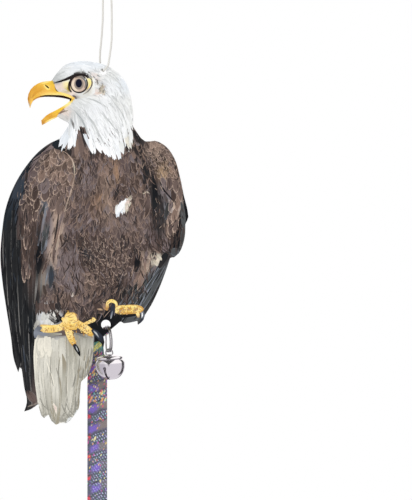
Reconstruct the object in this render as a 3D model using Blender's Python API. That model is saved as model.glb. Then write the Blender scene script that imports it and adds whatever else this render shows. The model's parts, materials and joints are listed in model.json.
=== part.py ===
"""Hanging bird scarer: a die-cut eagle board on a cord, with a jingle bell and a holographic ribbon.

Metres, +Z up. The board lies in the XZ plane and its front faces -Y. The origin is the top of the
hang loop, inside, where a hook or a branch carries the whole scarer.
"""
import math

import bmesh
import bpy
from mathutils import Matrix, Vector
from mathutils.geometry import interpolate_bezier

# Board: a foamed-plastic sheet between two printed films, all cut to one outline
board_height = 0.3635
board_width = 0.188
core_thickness = 0.0030
film_thickness = 0.0002
glue_line = 0.0003
outline_step = 0.0045
head_hole_radius = 0.0032
ring_hole_radius = 0.0048
hole_sides = 28

# The bird in the picture: the box round it, its outline and its holes, in pixels of the photograph
LEFT_PX, CROWN_PX, RIGHT_PX, TAIL_PX = 0.4, 61.4, 188.4, 424.9
HEAD_HOLE_PX = (103.4, 71.6)
RING_HOLE_PX = (105.9, 324.6)
TAIL_EDGE_PX = 93.4
RIBBON_PX = 96.9
HANG_PX = 107.3
OUTLINE_RUNS_PX = [
    # crown, nape and neck
    [(51.5, 81), (57, 73), (66, 64.5), (76, 61.7), (90, 61.5), (104, 64.7), (117, 72), (126, 83),
     (131.2, 99), (133.3, 118), (132.8, 125.5)],
    # back, right shoulder and wing
    [(132.8, 125.5), (138, 134), (145.5, 141.5), (155, 140.8), (165.5, 146), (174.5, 158.5),
     (180, 177), (184, 196), (187.7, 211), (188.4, 217), (185.4, 224)],
    [(185.4, 224), (185.2, 233), (182.8, 245), (178.7, 253.5), (174, 257.4), (170.3, 257.4)],
    [(170.3, 257.4), (166, 270.5), (158.5, 290), (151, 305.5), (145, 315)],
    # right talon
    [(145, 315), (143.5, 320), (138, 324.8)],
    [(138, 324.8), (137.4, 322.9), (139.7, 320.2)],
    # right wing's tip and the edge under the lower hole
    [(139.7, 320.2), (130.5, 322.5), (124, 323.3), (120.5, 321.3)],
    [(120.5, 321.3), (103.3, 336)],
    # middle talon
    [(103.3, 336), (104.5, 342), (103.3, 348)],
    [(103.3, 348), (101.8, 344), (99.5, 341.5)],
    [(99.5, 341.5), (93.6, 342)],
    # tail
    [(93.6, 342), (93.3, 352), (91.2, 367), (87, 376), (81, 381.5)],
    [(81, 381.5), (79.8, 395), (78.6, 408.5), (73, 417), (66, 423.2), (60.5, 422.6)],
    [(60.5, 422.6), (56, 424.9), (51.3, 420.5), (48, 412)],
    [(48, 412), (44.3, 418.2), (40, 411), (38.5, 403.8)],
    # left wing's long feathers and outer edge
    [(38.5, 403.8), (31, 409.2), (24.2, 411.4)],
    [(24.2, 411.4), (27, 402), (24.3, 387.5), (22.2, 372), (20.3, 360.6)],
    [(20.3, 360.6), (19.7, 367.5), (18.3, 372.2)],
    [(18.3, 372.2), (14.4, 361), (10.9, 336), (6, 306), (2.3, 280), (0.4, 255), (1.9, 234),
     (5.4, 210), (12.5, 189.5), (24.5, 168.5), (41, 149.7), (51, 142.7), (59.5, 138.9)],
    # throat and chin
    [(59.5, 138.9), (64.5, 132), (69.6, 123.3)],
    [(69.6, 123.3), (63, 120.2), (57.6, 116.9)],
    # lower beak
    [(57.6, 116.9), (49.5, 121), (42, 125.2)],
    [(42, 125.2), (41.3, 120.5), (46, 115.8), (58, 109.2), (67, 103.5), (71, 100)],
    # upper beak
    [(71, 100), (62, 97.9), (50, 96.9), (40, 97.5), (33, 101), (30.1, 108.2)],
    [(30.1, 108.2), (27.6, 99), (30.7, 89.5), (38, 83.5), (46, 81.3), (51.5, 81)],
]

# Cord: a loop, a knot and two strands that pass through the head hole
cord_diameter = 0.0020
loop_height = 0.0220
loop_width = 0.0120
knot_height = 0.0090
knot_width = 0.0080
knot_tail = 0.0100
knot_tail_droop_share = 0.33
knot_wrap_lean = math.radians(32)
strand_drop = 0.0889
strand_spread = 0.0085
bend_radius = 0.0040
knot_clearance = 0.0003
hole_seat = 0.0006
# along each strand from the knot to the bend: (share of the drop, of the spread, of the bend's depth)
FRONT_STRAND_SHARES = [(0.0, 0.15, 0.16), (0.10, 0.34, 0.25), (0.20, 0.46, 0.35), (0.29, 0.49, 0.43),
                       (0.44, 0.53, 0.55), (0.58, 0.53, 0.68), (0.72, 0.51, 0.80), (0.82, 0.39, 0.90),
                       (0.92, 0.22, 0.97)]
BACK_STRAND_SHARES = [(0.0, -0.15, 0.16), (0.10, -0.27, 0.25), (0.20, -0.41, 0.35), (0.29, -0.51, 0.43),
                      (0.44, -0.53, 0.55), (0.56, -0.58, 0.68), (0.65, -0.65, 0.76), (0.75, -0.75, 0.85),
                      (0.84, -0.85, 0.92), (0.93, -0.87, 0.98)]
# across the hole, from the front of the bend to the back: (degrees from straight down, share of the lean)
BEND_SHARES = [(-90, 1.0), (-60, 0.55), (-30, 0.2), (0, 0.0), (30, -0.17), (60, -0.45), (90, -0.65)]
bend_lean = 0.0040
cord_points = 76
# up one side of the hang loop from above its foot: (share of the half width, share of the height left)
LOOP_SHARES = [(0.24, 0.83), (1.0, 0.5), (0.8, 0.17)]

# Split ring: spring wire wound in two turns, hung in the lower hole
ring_diameter = 0.0270
ring_wire_width = 0.0020
ring_wire_thickness = 0.0013
ring_turn_gap = 0.00045
ring_wire_bevel = 0.0003
ring_steps = 44
ring_step_over = math.radians(50)
ring_end_gap = math.radians(16)
ring_join_angle = math.radians(118)
ring_yaw = math.radians(14.4)
ring_tilt = math.radians(4.5)
ring_seat_across = 0.0013
ring_seat_down = 0.0019

# Jingle bell: two pressed shells, a wire eye and a loose pea
bell_radius = 0.0147
bell_rim_radius = 0.0126
bell_wall = 0.0006
cap_height = 0.0050
cap_rim_radius = 0.0133
cap_lip = 0.0008
shell_gap = 0.0003
bowl_shoulder = 0.0047
bowl_depth = 0.0160
bowl_roundness = 2.3
bell_facets = 40
profile_steps = 7
slot_width = 0.0022
slot_hole_radius = 0.0017
slot_top_share = 0.25
slot_azimuth = math.radians(53)
eye_wire = 0.0014
eye_head_room = 0.0007
eye_side_room = 0.0012
eye_foot = 0.0026
eye_hole_room = 0.0003
eye_bend_share = 0.6
eye_arch_steps = 8
dome_clearance = 0.0006
pea_radius = 0.0030
pea_clearance = 0.0003
bell_tail_gap = 0.0011

# Ribbon: holographic film, gathered and tied round the back of the ring
ribbon_width = 0.0198
ribbon_length = 0.2520
ribbon_thickness = 0.00025
ribbon_neck_width = 0.0070
ribbon_pleat = 0.00095
ribbon_pleats = 2.5
ribbon_pleat_fade = 1.5
ribbon_open_length = 0.0420
ribbon_flare = 1.3
ribbon_bow_length = 0.0260
ribbon_bell_gap = 0.0016
ribbon_wave = 0.0012
ribbon_waves = 1.5
ribbon_rows = 42
ribbon_columns = 12
ribbon_knot_angle = math.radians(52)
ribbon_knot_length = 0.0064
ribbon_knot_bore = 0.0022
ribbon_knot_wall = 0.0015
ribbon_knot_lump = 0.0038
ribbon_lump_stretch_share = 1.5
ribbon_knot_aside = 0.0066
ribbon_knot_back = 0.0044
ribbon_throat_length = 0.0052
ribbon_throat_depth = 0.0028
ribbon_knot_gap = 0.0006

# Room that every cutter runs past what it cuts
overrun = 0.002

# Sizes that follow from the ones above
half_stack = core_thickness / 2 + glue_line + film_thickness
cord_radius = cord_diameter / 2
crown_z = -(loop_height + knot_height + strand_drop)
ring_radius = (ring_diameter - ring_wire_width) / 2
ring_width = 2 * ring_wire_thickness + ring_turn_gap
wire_reach = math.hypot(ring_width / 2, ring_wire_width / 2)
eye_top = ring_wire_width / 2 + eye_head_room
eye_half_width = ring_width / 2 + eye_side_room + eye_wire / 2
dome_top = wire_reach + dome_clearance
bowl_top = dome_top + cap_height + shell_gap
bowl_equator = bowl_top + bowl_shoulder
bowl_bottom = bowl_equator + bowl_depth


def across(px):
    """The place across the board, in metres from the hanging point, of a pixel column."""
    return (px - HANG_PX) / (RIGHT_PX - LEFT_PX) * board_width


def upright(px):
    """The height, in metres from the hanging point, of a pixel row."""
    return crown_z - (px - CROWN_PX) / (TAIL_PX - CROWN_PX) * board_height


def clear_scene():
    for obj in list(bpy.data.objects):
        bpy.data.objects.remove(obj)


def material(name, colour, roughness, metallic=0.0):
    mat = bpy.data.materials.new(name)
    mat.use_nodes = True
    shader = mat.node_tree.nodes["Principled BSDF"]
    shader.inputs["Base Color"].default_value = (*colour, 1.0)
    shader.inputs["Roughness"].default_value = roughness
    shader.inputs["Metallic"].default_value = metallic
    return mat


def link(name, data, mat, parent=None):
    obj = bpy.data.objects.new(name, data)
    bpy.context.scene.collection.objects.link(obj)
    obj.parent = parent
    if mat:
        data.materials.append(mat)
    return obj


def empty(name, location, rotation, parent=None):
    obj = link(name, None, None, parent)
    obj.location = location
    obj.rotation_euler = rotation
    return obj


def mesh_from(bm, name, smooth=True):
    bmesh.ops.recalc_face_normals(bm, faces=bm.faces)
    mesh = bpy.data.meshes.new(name)
    bm.to_mesh(mesh)
    bm.free()
    if smooth:
        mesh.shade_smooth()
        mesh.set_sharp_from_angle(angle=math.radians(35))
    return mesh


def boolean(obj, cutter, operation):
    """Cut or join with another object, which then only guides."""
    cutter.hide_render = True
    cutter.display_type = "WIRE"
    modifier = obj.modifiers.new(cutter.name, "BOOLEAN")
    modifier.operation = operation
    modifier.solver = "EXACT"
    modifier.object = cutter


def tangent(points, index):
    """The direction of a smooth curve through unevenly spaced points."""
    if index == 0:
        return points[1] - points[0]
    if index == len(points) - 1:
        return points[-1] - points[-2]
    before = points[index] - points[index - 1]
    after = points[index + 1] - points[index]
    reach = before.length + after.length
    return before / before.length * (after.length / reach) + after / after.length * (before.length / reach)


def smooth_curve(points, step):
    """Points about one step apart on a smooth curve through the given ones, ends included."""
    points = [Vector(point).to_3d() for point in points]
    curve = [points[0]]
    for index in range(len(points) - 1):
        start, end = points[index], points[index + 1]
        span = (end - start).length
        handle_1 = start + tangent(points, index).normalized() * span / 3
        handle_2 = end - tangent(points, index + 1).normalized() * span / 3
        count = max(1, round(span / step))
        curve += interpolate_bezier(start, handle_1, handle_2, end, count + 1)[1:]
    return curve


def evenly(points, count):
    """The given number of points at even distances along a line of points."""
    lengths = [0.0]
    for start, end in zip(points, points[1:]):
        lengths.append(lengths[-1] + (end - start).length)
    even, index = [], 0
    for step in range(count):
        want = lengths[-1] * step / (count - 1)
        while index < len(points) - 2 and lengths[index + 1] < want:
            index += 1
        share = (want - lengths[index]) / (lengths[index + 1] - lengths[index])
        even.append(points[index].lerp(points[index + 1], share))
    return even


def tube(name, points, radius, mat, parent=None):
    """A round tube along a line of points, with closed ends."""
    curve = bpy.data.curves.new(name, "CURVE")
    curve.dimensions = "3D"
    curve.bevel_depth = radius
    curve.bevel_resolution = 2
    curve.use_fill_caps = True
    spline = curve.splines.new("POLY")
    spline.points.add(len(points) - 1)
    for spot, point in zip(spline.points, points):
        spot.co = (*point, 1.0)
    return link(name, curve, mat, parent)


def board_outline():
    """The bird's outline as one closed line of points in the board's plane."""
    outline = []
    for run in OUTLINE_RUNS_PX:
        placed = [(across(x), 0.0, upright(y)) for x, y in run]
        outline += smooth_curve(placed, outline_step)[:-1]
    return outline


def circle_points(centre, radius, sides):
    return [centre + Vector((radius * math.cos(turn), 0.0, radius * math.sin(turn)))
            for turn in (math.tau * side / sides for side in range(sides))]


def head_hole():
    return Vector((across(HEAD_HOLE_PX[0]), 0.0, upright(HEAD_HOLE_PX[1])))


def ring_hole():
    return Vector((across(RING_HOLE_PX[0]), 0.0, upright(RING_HOLE_PX[1])))


def die_cut_plate(name, near, far, mat):
    """A flat layer of the board from depth near to depth far, with its outline and both holes."""
    bm = bmesh.new()
    loops = [board_outline(),
             circle_points(head_hole(), head_hole_radius, hole_sides),
             circle_points(ring_hole(), ring_hole_radius, hole_sides)]
    edges = []
    for loop in loops:
        corners = [bm.verts.new(point + Vector((0.0, near, 0.0))) for point in loop]
        edges += [bm.edges.new((corners[index - 1], corners[index])) for index in range(len(corners))]
    bmesh.ops.triangle_fill(bm, edges=edges, use_beauty=True, normal=(0, -1, 0))
    pushed = bmesh.ops.extrude_face_region(bm, geom=bm.faces[:])
    corners = [item for item in pushed["geom"] if isinstance(item, bmesh.types.BMVert)]
    bmesh.ops.translate(bm, verts=corners, vec=(0.0, far - near, 0.0))
    return link(name, mesh_from(bm, name, smooth=False), mat)


def make_board():
    foam = material("foam_board", (0.86, 0.86, 0.84), 0.6)
    print_film = material("print_film", (0.13, 0.10, 0.09), 0.35)
    half_core = core_thickness / 2
    die_cut_plate("board_core", -half_core, half_core, foam)
    die_cut_plate("front_print", -half_stack, -half_core - glue_line, print_film)
    die_cut_plate("back_print", half_core + glue_line, half_stack, print_film)


def strand_points(shares, bend_top, side):
    """One strand, from the knot down to the bend, in front of the board or behind it."""
    top = -(loop_height + knot_height + knot_clearance)
    drop = top - bend_top
    return [Vector((share * strand_spread, side * depth * bend_radius, top - fall * drop))
            for fall, share, depth in shares]


def cord_route():
    """From the knot down the front, through the head hole and up the back to the knot."""
    hole = head_hole()
    bend_top = hole.z + hole_seat + bend_radius
    bend = [Vector((hole.x + lean * bend_lean,
                    bend_radius * math.sin(math.radians(turn)),
                    bend_top - bend_radius * math.cos(math.radians(turn))))
            for turn, lean in BEND_SHARES]
    front = strand_points(FRONT_STRAND_SHARES, bend_top, -1)
    back = strand_points(BACK_STRAND_SHARES, bend_top, 1)
    return front + bend + back[::-1]


def make_cord():
    cotton = material("cord_cotton", (0.78, 0.77, 0.74), 0.9)
    route = evenly(smooth_curve(cord_route(), bend_radius / 4), cord_points)
    tube("hanging_cord", route, cord_radius, cotton)

    knot_top = -loop_height
    foot = knot_top + knot_clearance
    top = cord_radius
    rising = [(cord_radius + knot_clearance, 0, foot)]
    rising += [(wide * loop_width / 2, 0, left * foot) for wide, left in LOOP_SHARES]
    falling = [(-x, y, z) for x, y, z in rising[::-1]]
    tube("hang_loop", smooth_curve(rising + [(0, 0, top)] + falling, cord_diameter), cord_radius, cotton)
    make_cord_knot(cotton)


def make_cord_knot(mat):
    """An overhand knot: a core that the strands enter, two wraps round it, and the trimmed ends."""
    centre = Vector((0.0, 0.0, -loop_height - knot_height / 2))
    bm = bmesh.new()
    bmesh.ops.create_uvsphere(bm, u_segments=16, v_segments=10, radius=1.0)
    core_size = (knot_width / 2 - cord_radius / 2, knot_width / 2 - cord_radius, knot_height / 2)
    bmesh.ops.scale(bm, verts=bm.verts, vec=core_size)
    knot = link("cord_knot", mesh_from(bm, "cord_knot"), mat)
    knot.location = centre
    for name, lean in (("wrap_rising", 1), ("wrap_falling", -1)):
        wrap = wrap_ring(name, knot_width / 2 - cord_radius / 2, cord_radius)
        wrap.location = centre
        wrap.rotation_euler = (0.0, lean * knot_wrap_lean, 0.0)
        boolean(knot, wrap, "UNION")
    for name, side in (("tail_left", -1), ("tail_right", 1)):
        start = Vector((0.0, side * cord_radius, 0.0))
        end = Vector((side * (knot_width / 2 + knot_tail), side * cord_diameter,
                      -knot_tail_droop_share * knot_tail))
        aim = (end - start).to_track_quat("Z", "Y").to_matrix().to_4x4()
        place = Matrix.Translation(centre + (start + end) / 2) @ aim
        boolean(knot, rod(name, cord_radius, (end - start).length, None, place, 8), "UNION")


def wrap_ring(name, radius, thickness):
    """One turn of cord round the knot: a circle spun into a ring."""
    bm = bmesh.new()
    bmesh.ops.create_circle(bm, segments=10, radius=thickness,
                            matrix=Matrix.Translation((radius, 0, 0)) @ Matrix.Rotation(math.pi / 2, 4, "X"))
    bmesh.ops.spin(bm, geom=bm.verts[:] + bm.edges[:], cent=(0, 0, 0), axis=(0, 0, 1), dvec=(0, 0, 0),
                   angle=math.tau, steps=20, use_merge=True)
    return link(name, mesh_from(bm, name), None)


def ring_pivot_place():
    """The middle of the ring's wire where it hangs in the lower hole."""
    return ring_hole() + Vector((ring_seat_across, 0.0, -ring_seat_down))


def spin_on(bm, ends, angle, drift):
    """Carry the wire's end face on round the ring, drifting sideways by an even amount."""
    steps = max(2, round(ring_steps * angle / math.tau))
    spun = bmesh.ops.spin(bm, geom=ends, cent=(0, 0, -ring_radius), axis=(1, 0, 0),
                          dvec=(drift / steps, 0, 0), angle=angle, steps=steps, use_merge=False)
    return spun["geom_last"]


def make_split_ring(pivot):
    """Flat wire wound in two turns, side by side, that step over each other between the two ends."""
    steel = material("ring_steel", (0.62, 0.62, 0.63), 0.22, 1.0)
    bm = bmesh.new()
    side = ring_wire_thickness / 2
    deep = ring_wire_width / 2
    cut = ring_wire_bevel
    start = -(ring_wire_thickness + ring_turn_gap) / 2
    section = [(side - cut, deep), (side, deep - cut), (side, cut - deep), (side - cut, -deep),
               (cut - side, -deep), (-side, cut - deep), (-side, deep - cut), (cut - side, deep)]
    corners = [bm.verts.new((start + x, 0.0, z)) for x, z in section]
    first = bm.faces.new(corners)
    flat = math.tau - ring_step_over - ring_end_gap
    aim = Matrix.Rotation(-ring_join_angle - ring_step_over / 2 - flat, 3, "X")
    bmesh.ops.rotate(bm, cent=(0, 0, -ring_radius), matrix=aim, verts=corners)
    ends = [first] + first.edges[:] + corners
    ends = spin_on(bm, ends, flat, 0.0)
    ends = spin_on(bm, ends, ring_step_over, ring_wire_thickness + ring_turn_gap)
    spin_on(bm, ends, flat, 0.0)
    mesh = mesh_from(bm, "split_ring")
    print(f"split_ring: least gap between its turns {least_turn_gap(mesh, len(section)) * 1000:.2f} mm")
    return link("split_ring", mesh, steel, pivot)


def least_turn_gap(mesh, corners):
    """The least distance between two places on the wire's skin that lie half a turn or more apart."""
    skin = [vert.co for vert in mesh.vertices]
    apart = corners * ring_steps // 2
    return min((near - far).length for index, near in enumerate(skin) for far in skin[index + apart:])


def shoulder_radius(depth):
    """The bowl's outer radius at a depth below its upper rim, down to its widest ring."""
    rise = (bowl_shoulder - depth) / bowl_shoulder
    taper = 1 - (bell_rim_radius / bell_radius) ** 2
    return bell_radius * math.sqrt(1 - taper * rise ** 2)


def bowl_profile(inset):
    """Points (radius, height) from the upper rim down to the axis, that far inside the outer skin."""
    points = []
    for step in range(profile_steps):
        depth = bowl_shoulder * step / profile_steps
        points.append((shoulder_radius(depth) - inset, -bowl_top - depth))
    for step in range(2 * profile_steps + 1):
        turn = math.pi / 2 * step / (2 * profile_steps)
        radius = (bell_radius - inset) * math.cos(turn) ** (2 / bowl_roundness)
        height = (bowl_depth - inset) * math.sin(turn) ** (2 / bowl_roundness)
        points.append((radius if step < 2 * profile_steps else 0.0, -bowl_equator - height))
    return points


def cap_profile(inset):
    """Points (radius, height) from the axis out to the cap's rim, that far inside the outer skin."""
    radius, rise = cap_rim_radius - inset, cap_height - cap_lip - inset
    foot = -dome_top - cap_height + cap_lip
    return [(radius * math.sin(turn), foot + rise * math.cos(turn))
            for turn in (math.pi / 2 * step / profile_steps for step in range(profile_steps + 1))]


def revolve(name, profile, closed, mat, parent):
    """Turn a line of (radius, height) points about the bell's axis."""
    bm = bmesh.new()
    corners = [bm.verts.new((radius, 0.0, height)) for radius, height in profile]
    edges = [bm.edges.new(pair) for pair in zip(corners, corners[1:])]
    if closed:
        edges.append(bm.edges.new((corners[-1], corners[0])))
    bmesh.ops.spin(bm, geom=corners + edges, cent=(0, 0, 0), axis=(0, 0, 1), dvec=(0, 0, 0),
                   angle=math.tau, steps=bell_facets, use_merge=True)
    bmesh.ops.remove_doubles(bm, verts=bm.verts, dist=bell_wall / 100)
    return link(name, mesh_from(bm, name), mat, parent)


def block(name, size, parent, matrix):
    bm = bmesh.new()
    bmesh.ops.create_cube(bm, size=1.0)
    bmesh.ops.scale(bm, verts=bm.verts, vec=size)
    obj = link(name, mesh_from(bm, name, smooth=False), None, parent)
    obj.matrix_local = matrix
    return obj


def rod(name, radius, length, parent, matrix, sides=16):
    bm = bmesh.new()
    bmesh.ops.create_cone(bm, cap_ends=True, segments=sides, radius1=radius, radius2=radius, depth=length)
    obj = link(name, mesh_from(bm, name), None, parent)
    obj.matrix_local = matrix
    return obj


def make_bell_shells(pivot):
    chrome = material("bell_chrome", (0.80, 0.79, 0.80), 0.12, 1.0)
    lip_foot = -dome_top - cap_height
    lip = [(cap_rim_radius, lip_foot), (cap_rim_radius - bell_wall, lip_foot)]
    cap = revolve("bell_cap", cap_profile(0.0) + lip + cap_profile(bell_wall)[::-1], False, chrome, pivot)
    leg_hole = eye_wire / 2 + eye_hole_room
    for name, side in (("eye_hole_left", -1), ("eye_hole_right", 1)):
        place = Matrix.Translation((side * eye_half_width, 0.0, -dome_top - bell_wall / 2))
        boolean(cap, rod(name, leg_hole, cap_height, pivot, place), "DIFFERENCE")

    bowl = revolve("bell_bowl", bowl_profile(bell_wall)[::-1] + bowl_profile(0.0), True, chrome, pivot)
    slot_top = -bowl_equator - slot_top_share * bowl_depth
    span = 2 * (bell_radius + overrun)
    drop = bowl_bottom + overrun + slot_top
    for name, turn in (("slot", slot_azimuth), ("cross_slot", slot_azimuth + math.pi / 2)):
        aim = Matrix.Rotation(turn - math.pi / 2, 4, "Z")
        middle = Matrix.Translation((0.0, 0.0, slot_top - drop / 2))
        boolean(bowl, block(name, (span, slot_width, drop), pivot, middle @ aim), "DIFFERENCE")
        lie = Matrix.Translation((0.0, 0.0, slot_top)) @ aim @ Matrix.Rotation(math.pi / 2, 4, "Y")
        boolean(bowl, rod(name + "_ends", slot_hole_radius, span, pivot, lie), "DIFFERENCE")


def make_bell_eye(pivot):
    """A wire staple round the ring, with its legs through the cap and its feet bent out under it."""
    wire = material("eye_wire", (0.70, 0.70, 0.71), 0.2, 1.0)
    half, rise = eye_half_width, eye_top + eye_wire / 2
    foot_z = -dome_top - bell_wall - dome_drop(half + eye_foot + eye_wire) - eye_hole_room - eye_wire / 2
    turn = eye_bend_share * eye_wire
    points = [(half + eye_foot, 0, foot_z), (half + turn, 0, foot_z), (half, 0, foot_z + turn),
              (half, 0, -dome_top), (half, 0, rise - half)]
    arch = [(half * math.cos(a), 0, rise - half + half * math.sin(a))
            for a in (math.pi * step / eye_arch_steps for step in range(1, eye_arch_steps))]
    left = [(-x, y, z) for x, y, z in points[::-1]]
    tube("bell_eye", smooth_curve(points + arch + left, eye_wire), eye_wire / 2, wire, pivot)


def dome_drop(radius):
    """How far the cap's skin has fallen at a radius from the bell's axis."""
    return (cap_height - cap_lip) * (1 - math.sqrt(1 - (radius / cap_rim_radius) ** 2))


def make_bell_pea(pivot):
    steel = material("pea_steel", (0.45, 0.45, 0.46), 0.35, 1.0)
    bm = bmesh.new()
    bmesh.ops.create_uvsphere(bm, u_segments=18, v_segments=12, radius=pea_radius)
    pea = link("bell_pea", mesh_from(bm, "bell_pea"), steel, pivot)
    pea.location = (0.0, 0.0, -bowl_bottom + bell_wall + pea_clearance + pea_radius)


def knot_centre():
    """The middle of the ribbon's knot in the ring's own frame, on the wire behind the board."""
    return Vector((0.0, ring_radius * math.sin(ribbon_knot_angle),
                   ring_radius * (math.cos(ribbon_knot_angle) - 1)))


def lump_centre():
    """The middle of the knot's lump, beside and behind the ring's wire, in the ring's own frame."""
    return knot_centre() + Vector((-ribbon_knot_aside, ribbon_knot_back, 0.0))


def make_ribbon_knot(pivot):
    """The tied end: a band round the ring's wire, the knot's lump beside it and the gathered throat."""
    film = material("holo_film", (0.42, 0.45, 0.52), 0.25, 0.6)
    along = Matrix.Translation(knot_centre()) @ Matrix.Rotation(math.pi / 2 - ribbon_knot_angle, 4, "X")
    band_radius = ribbon_knot_bore + ribbon_knot_wall
    knot = rod("ribbon_knot", band_radius, ribbon_knot_length, pivot, along, 20)
    knot.data.materials.append(film)
    bm = bmesh.new()
    bmesh.ops.create_uvsphere(bm, u_segments=16, v_segments=10, radius=ribbon_knot_lump)
    bmesh.ops.scale(bm, verts=bm.verts, vec=(ribbon_lump_stretch_share, 1.0, 1.0))
    lump = link("knot_lump", mesh_from(bm, "knot_lump"), None, pivot)
    lump.location = lump_centre()
    boolean(knot, lump, "UNION")
    bm = bmesh.new()
    bmesh.ops.create_cone(bm, cap_ends=True, segments=20, radius1=1.0, radius2=1.0, depth=1.0)
    throat_size = (ribbon_neck_width / 2, ribbon_throat_depth / 2, ribbon_throat_length)
    bmesh.ops.scale(bm, verts=bm.verts, vec=throat_size)
    throat = link("knot_throat", mesh_from(bm, "knot_throat"), None, pivot)
    throat.location = lump_centre() - Vector((0.0, 0.0, ribbon_throat_length / 2))
    boolean(knot, throat, "UNION")
    bore_length = ribbon_knot_length + 2 * overrun
    boolean(knot, rod("knot_bore", ribbon_knot_bore, bore_length, pivot, along, 20), "DIFFERENCE")


def ease(share):
    """A smooth step from 0 to 1."""
    share = min(1.0, max(0.0, share))
    return share * share * (3 - 2 * share)


def make_ribbon(neck, behind):
    """The hanging film: pleated at the neck, bowed out behind the bell, then flat and plumb."""
    film = material("ribbon_film", (0.42, 0.45, 0.52), 0.25, 0.6)
    bm = bmesh.new()
    bmesh.ops.create_grid(bm, x_segments=ribbon_columns, y_segments=ribbon_rows, size=1.0)
    for vert in bm.verts:
        side = vert.co.x
        fall = (1 - vert.co.y) / 2 * ribbon_length
        opened = min(1.0, fall / ribbon_open_length)
        spread = (ribbon_width - ribbon_neck_width) * (1 - (1 - opened) ** ribbon_flare)
        half = (ribbon_neck_width + spread) / 2
        middle = (across(RIBBON_PX) - neck.x) * ease(fall / ribbon_bow_length)
        bow = (behind - neck.y) * ease(fall / ribbon_bow_length)
        pleat = ribbon_pleat * (1 - opened) ** ribbon_pleat_fade * math.cos(math.pi * ribbon_pleats * side)
        wave = ribbon_wave * opened * (1 - math.cos(math.tau * ribbon_waves * fall / ribbon_length)) / 2
        vert.co = Vector((middle + half * side, bow + pleat + wave, -fall))
    ribbon = link("ribbon", mesh_from(bm, "ribbon"), film)
    ribbon.location = neck
    skin = ribbon.modifiers.new("film_thickness", "SOLIDIFY")
    skin.thickness = ribbon_thickness
    skin.offset = 0.0


def bell_lean(bell_pivot):
    """How far the bell leans away from the tail's edge, which it hangs beside."""
    want = across(TAIL_EDGE_PX) + bell_tail_gap + bell_radius - bell_pivot.x
    arm = bowl_equator * math.cos(ring_yaw)
    return math.asin(max(math.sin(ring_tilt), want / arm))


def make_all():
    clear_scene()
    make_board()
    make_cord()
    ring_turn = (0.0, -ring_tilt, ring_yaw)
    ring_pivot = empty("ring_pivot", ring_pivot_place(), ring_turn)
    make_split_ring(ring_pivot)
    make_ribbon_knot(ring_pivot)
    bpy.context.view_layer.update()
    ring_bottom = Vector((0.0, 0.0, -2 * ring_radius))
    lean = bell_lean(ring_pivot.matrix_world @ ring_bottom)
    bell_pivot = empty("bell_pivot", ring_bottom, (0.0, ring_tilt - lean, 0.0), ring_pivot)
    make_bell_eye(bell_pivot)
    make_bell_shells(bell_pivot)
    make_bell_pea(bell_pivot)
    throat_foot = ring_pivot.matrix_world @ (lump_centre() - Vector((0.0, 0.0, ribbon_throat_length)))
    neck = throat_foot - Vector((0.0, 0.0, ribbon_knot_gap + ribbon_neck_width / 2 * math.sin(ring_tilt)))
    make_ribbon(neck, bell_radius + ribbon_bell_gap)
    bpy.context.view_layer.update()


make_all()
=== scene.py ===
"""Hanging bird scarer: the printed eagle, the cord, the split ring, the bell and the holographic ribbon.

Metres, +Z up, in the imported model's own frame. Run it as a script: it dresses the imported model.
"""

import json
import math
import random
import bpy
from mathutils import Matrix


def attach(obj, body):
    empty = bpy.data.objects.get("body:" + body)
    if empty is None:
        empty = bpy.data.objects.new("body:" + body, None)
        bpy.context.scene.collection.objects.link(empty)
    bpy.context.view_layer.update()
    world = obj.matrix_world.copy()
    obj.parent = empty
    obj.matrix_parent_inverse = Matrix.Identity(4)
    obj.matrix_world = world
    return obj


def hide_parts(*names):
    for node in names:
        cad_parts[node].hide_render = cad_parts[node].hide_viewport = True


bl_info = {
    "name": "Hanging bird scarer",
    "version": (1, 0, 0),
    "blender": (4, 5, 0),
    "location": "3D View > Sidebar > Scarer",
    "description": "Dresses the packed bird scarer with its print, cord, bell, ring and ribbon",
    "category": "Object",
}

import bmesh
import bpy
import numpy as np
from bpy.props import FloatProperty, FloatVectorProperty, IntProperty, PointerProperty
from mathutils import Matrix, Vector
from mathutils.bvhtree import BVHTree
from mathutils.geometry import interpolate_bezier

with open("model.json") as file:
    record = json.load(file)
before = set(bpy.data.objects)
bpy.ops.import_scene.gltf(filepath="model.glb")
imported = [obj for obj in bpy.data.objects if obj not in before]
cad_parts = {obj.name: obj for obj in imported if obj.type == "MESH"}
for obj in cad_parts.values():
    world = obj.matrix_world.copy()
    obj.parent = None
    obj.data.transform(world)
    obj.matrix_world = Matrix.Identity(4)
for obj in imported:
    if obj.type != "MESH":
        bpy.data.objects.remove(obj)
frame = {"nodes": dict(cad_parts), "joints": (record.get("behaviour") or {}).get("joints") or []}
NODES = frame["nodes"]
JOINTS = {joint["name"]: joint for joint in frame["joints"]}

MM = 0.001
# One step of the print's own grid is a millimetre. The hanging point lies at this column, above this row.
HANG_COLUMN, HANG_ROW = 107.3, -58.5
FILM_FACE = 2.0 * MM
HEAD_HOLE = (103.4, 71.6, 3.2)
LOWER_HOLE = (105.9, 324.6, 4.8)

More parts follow.
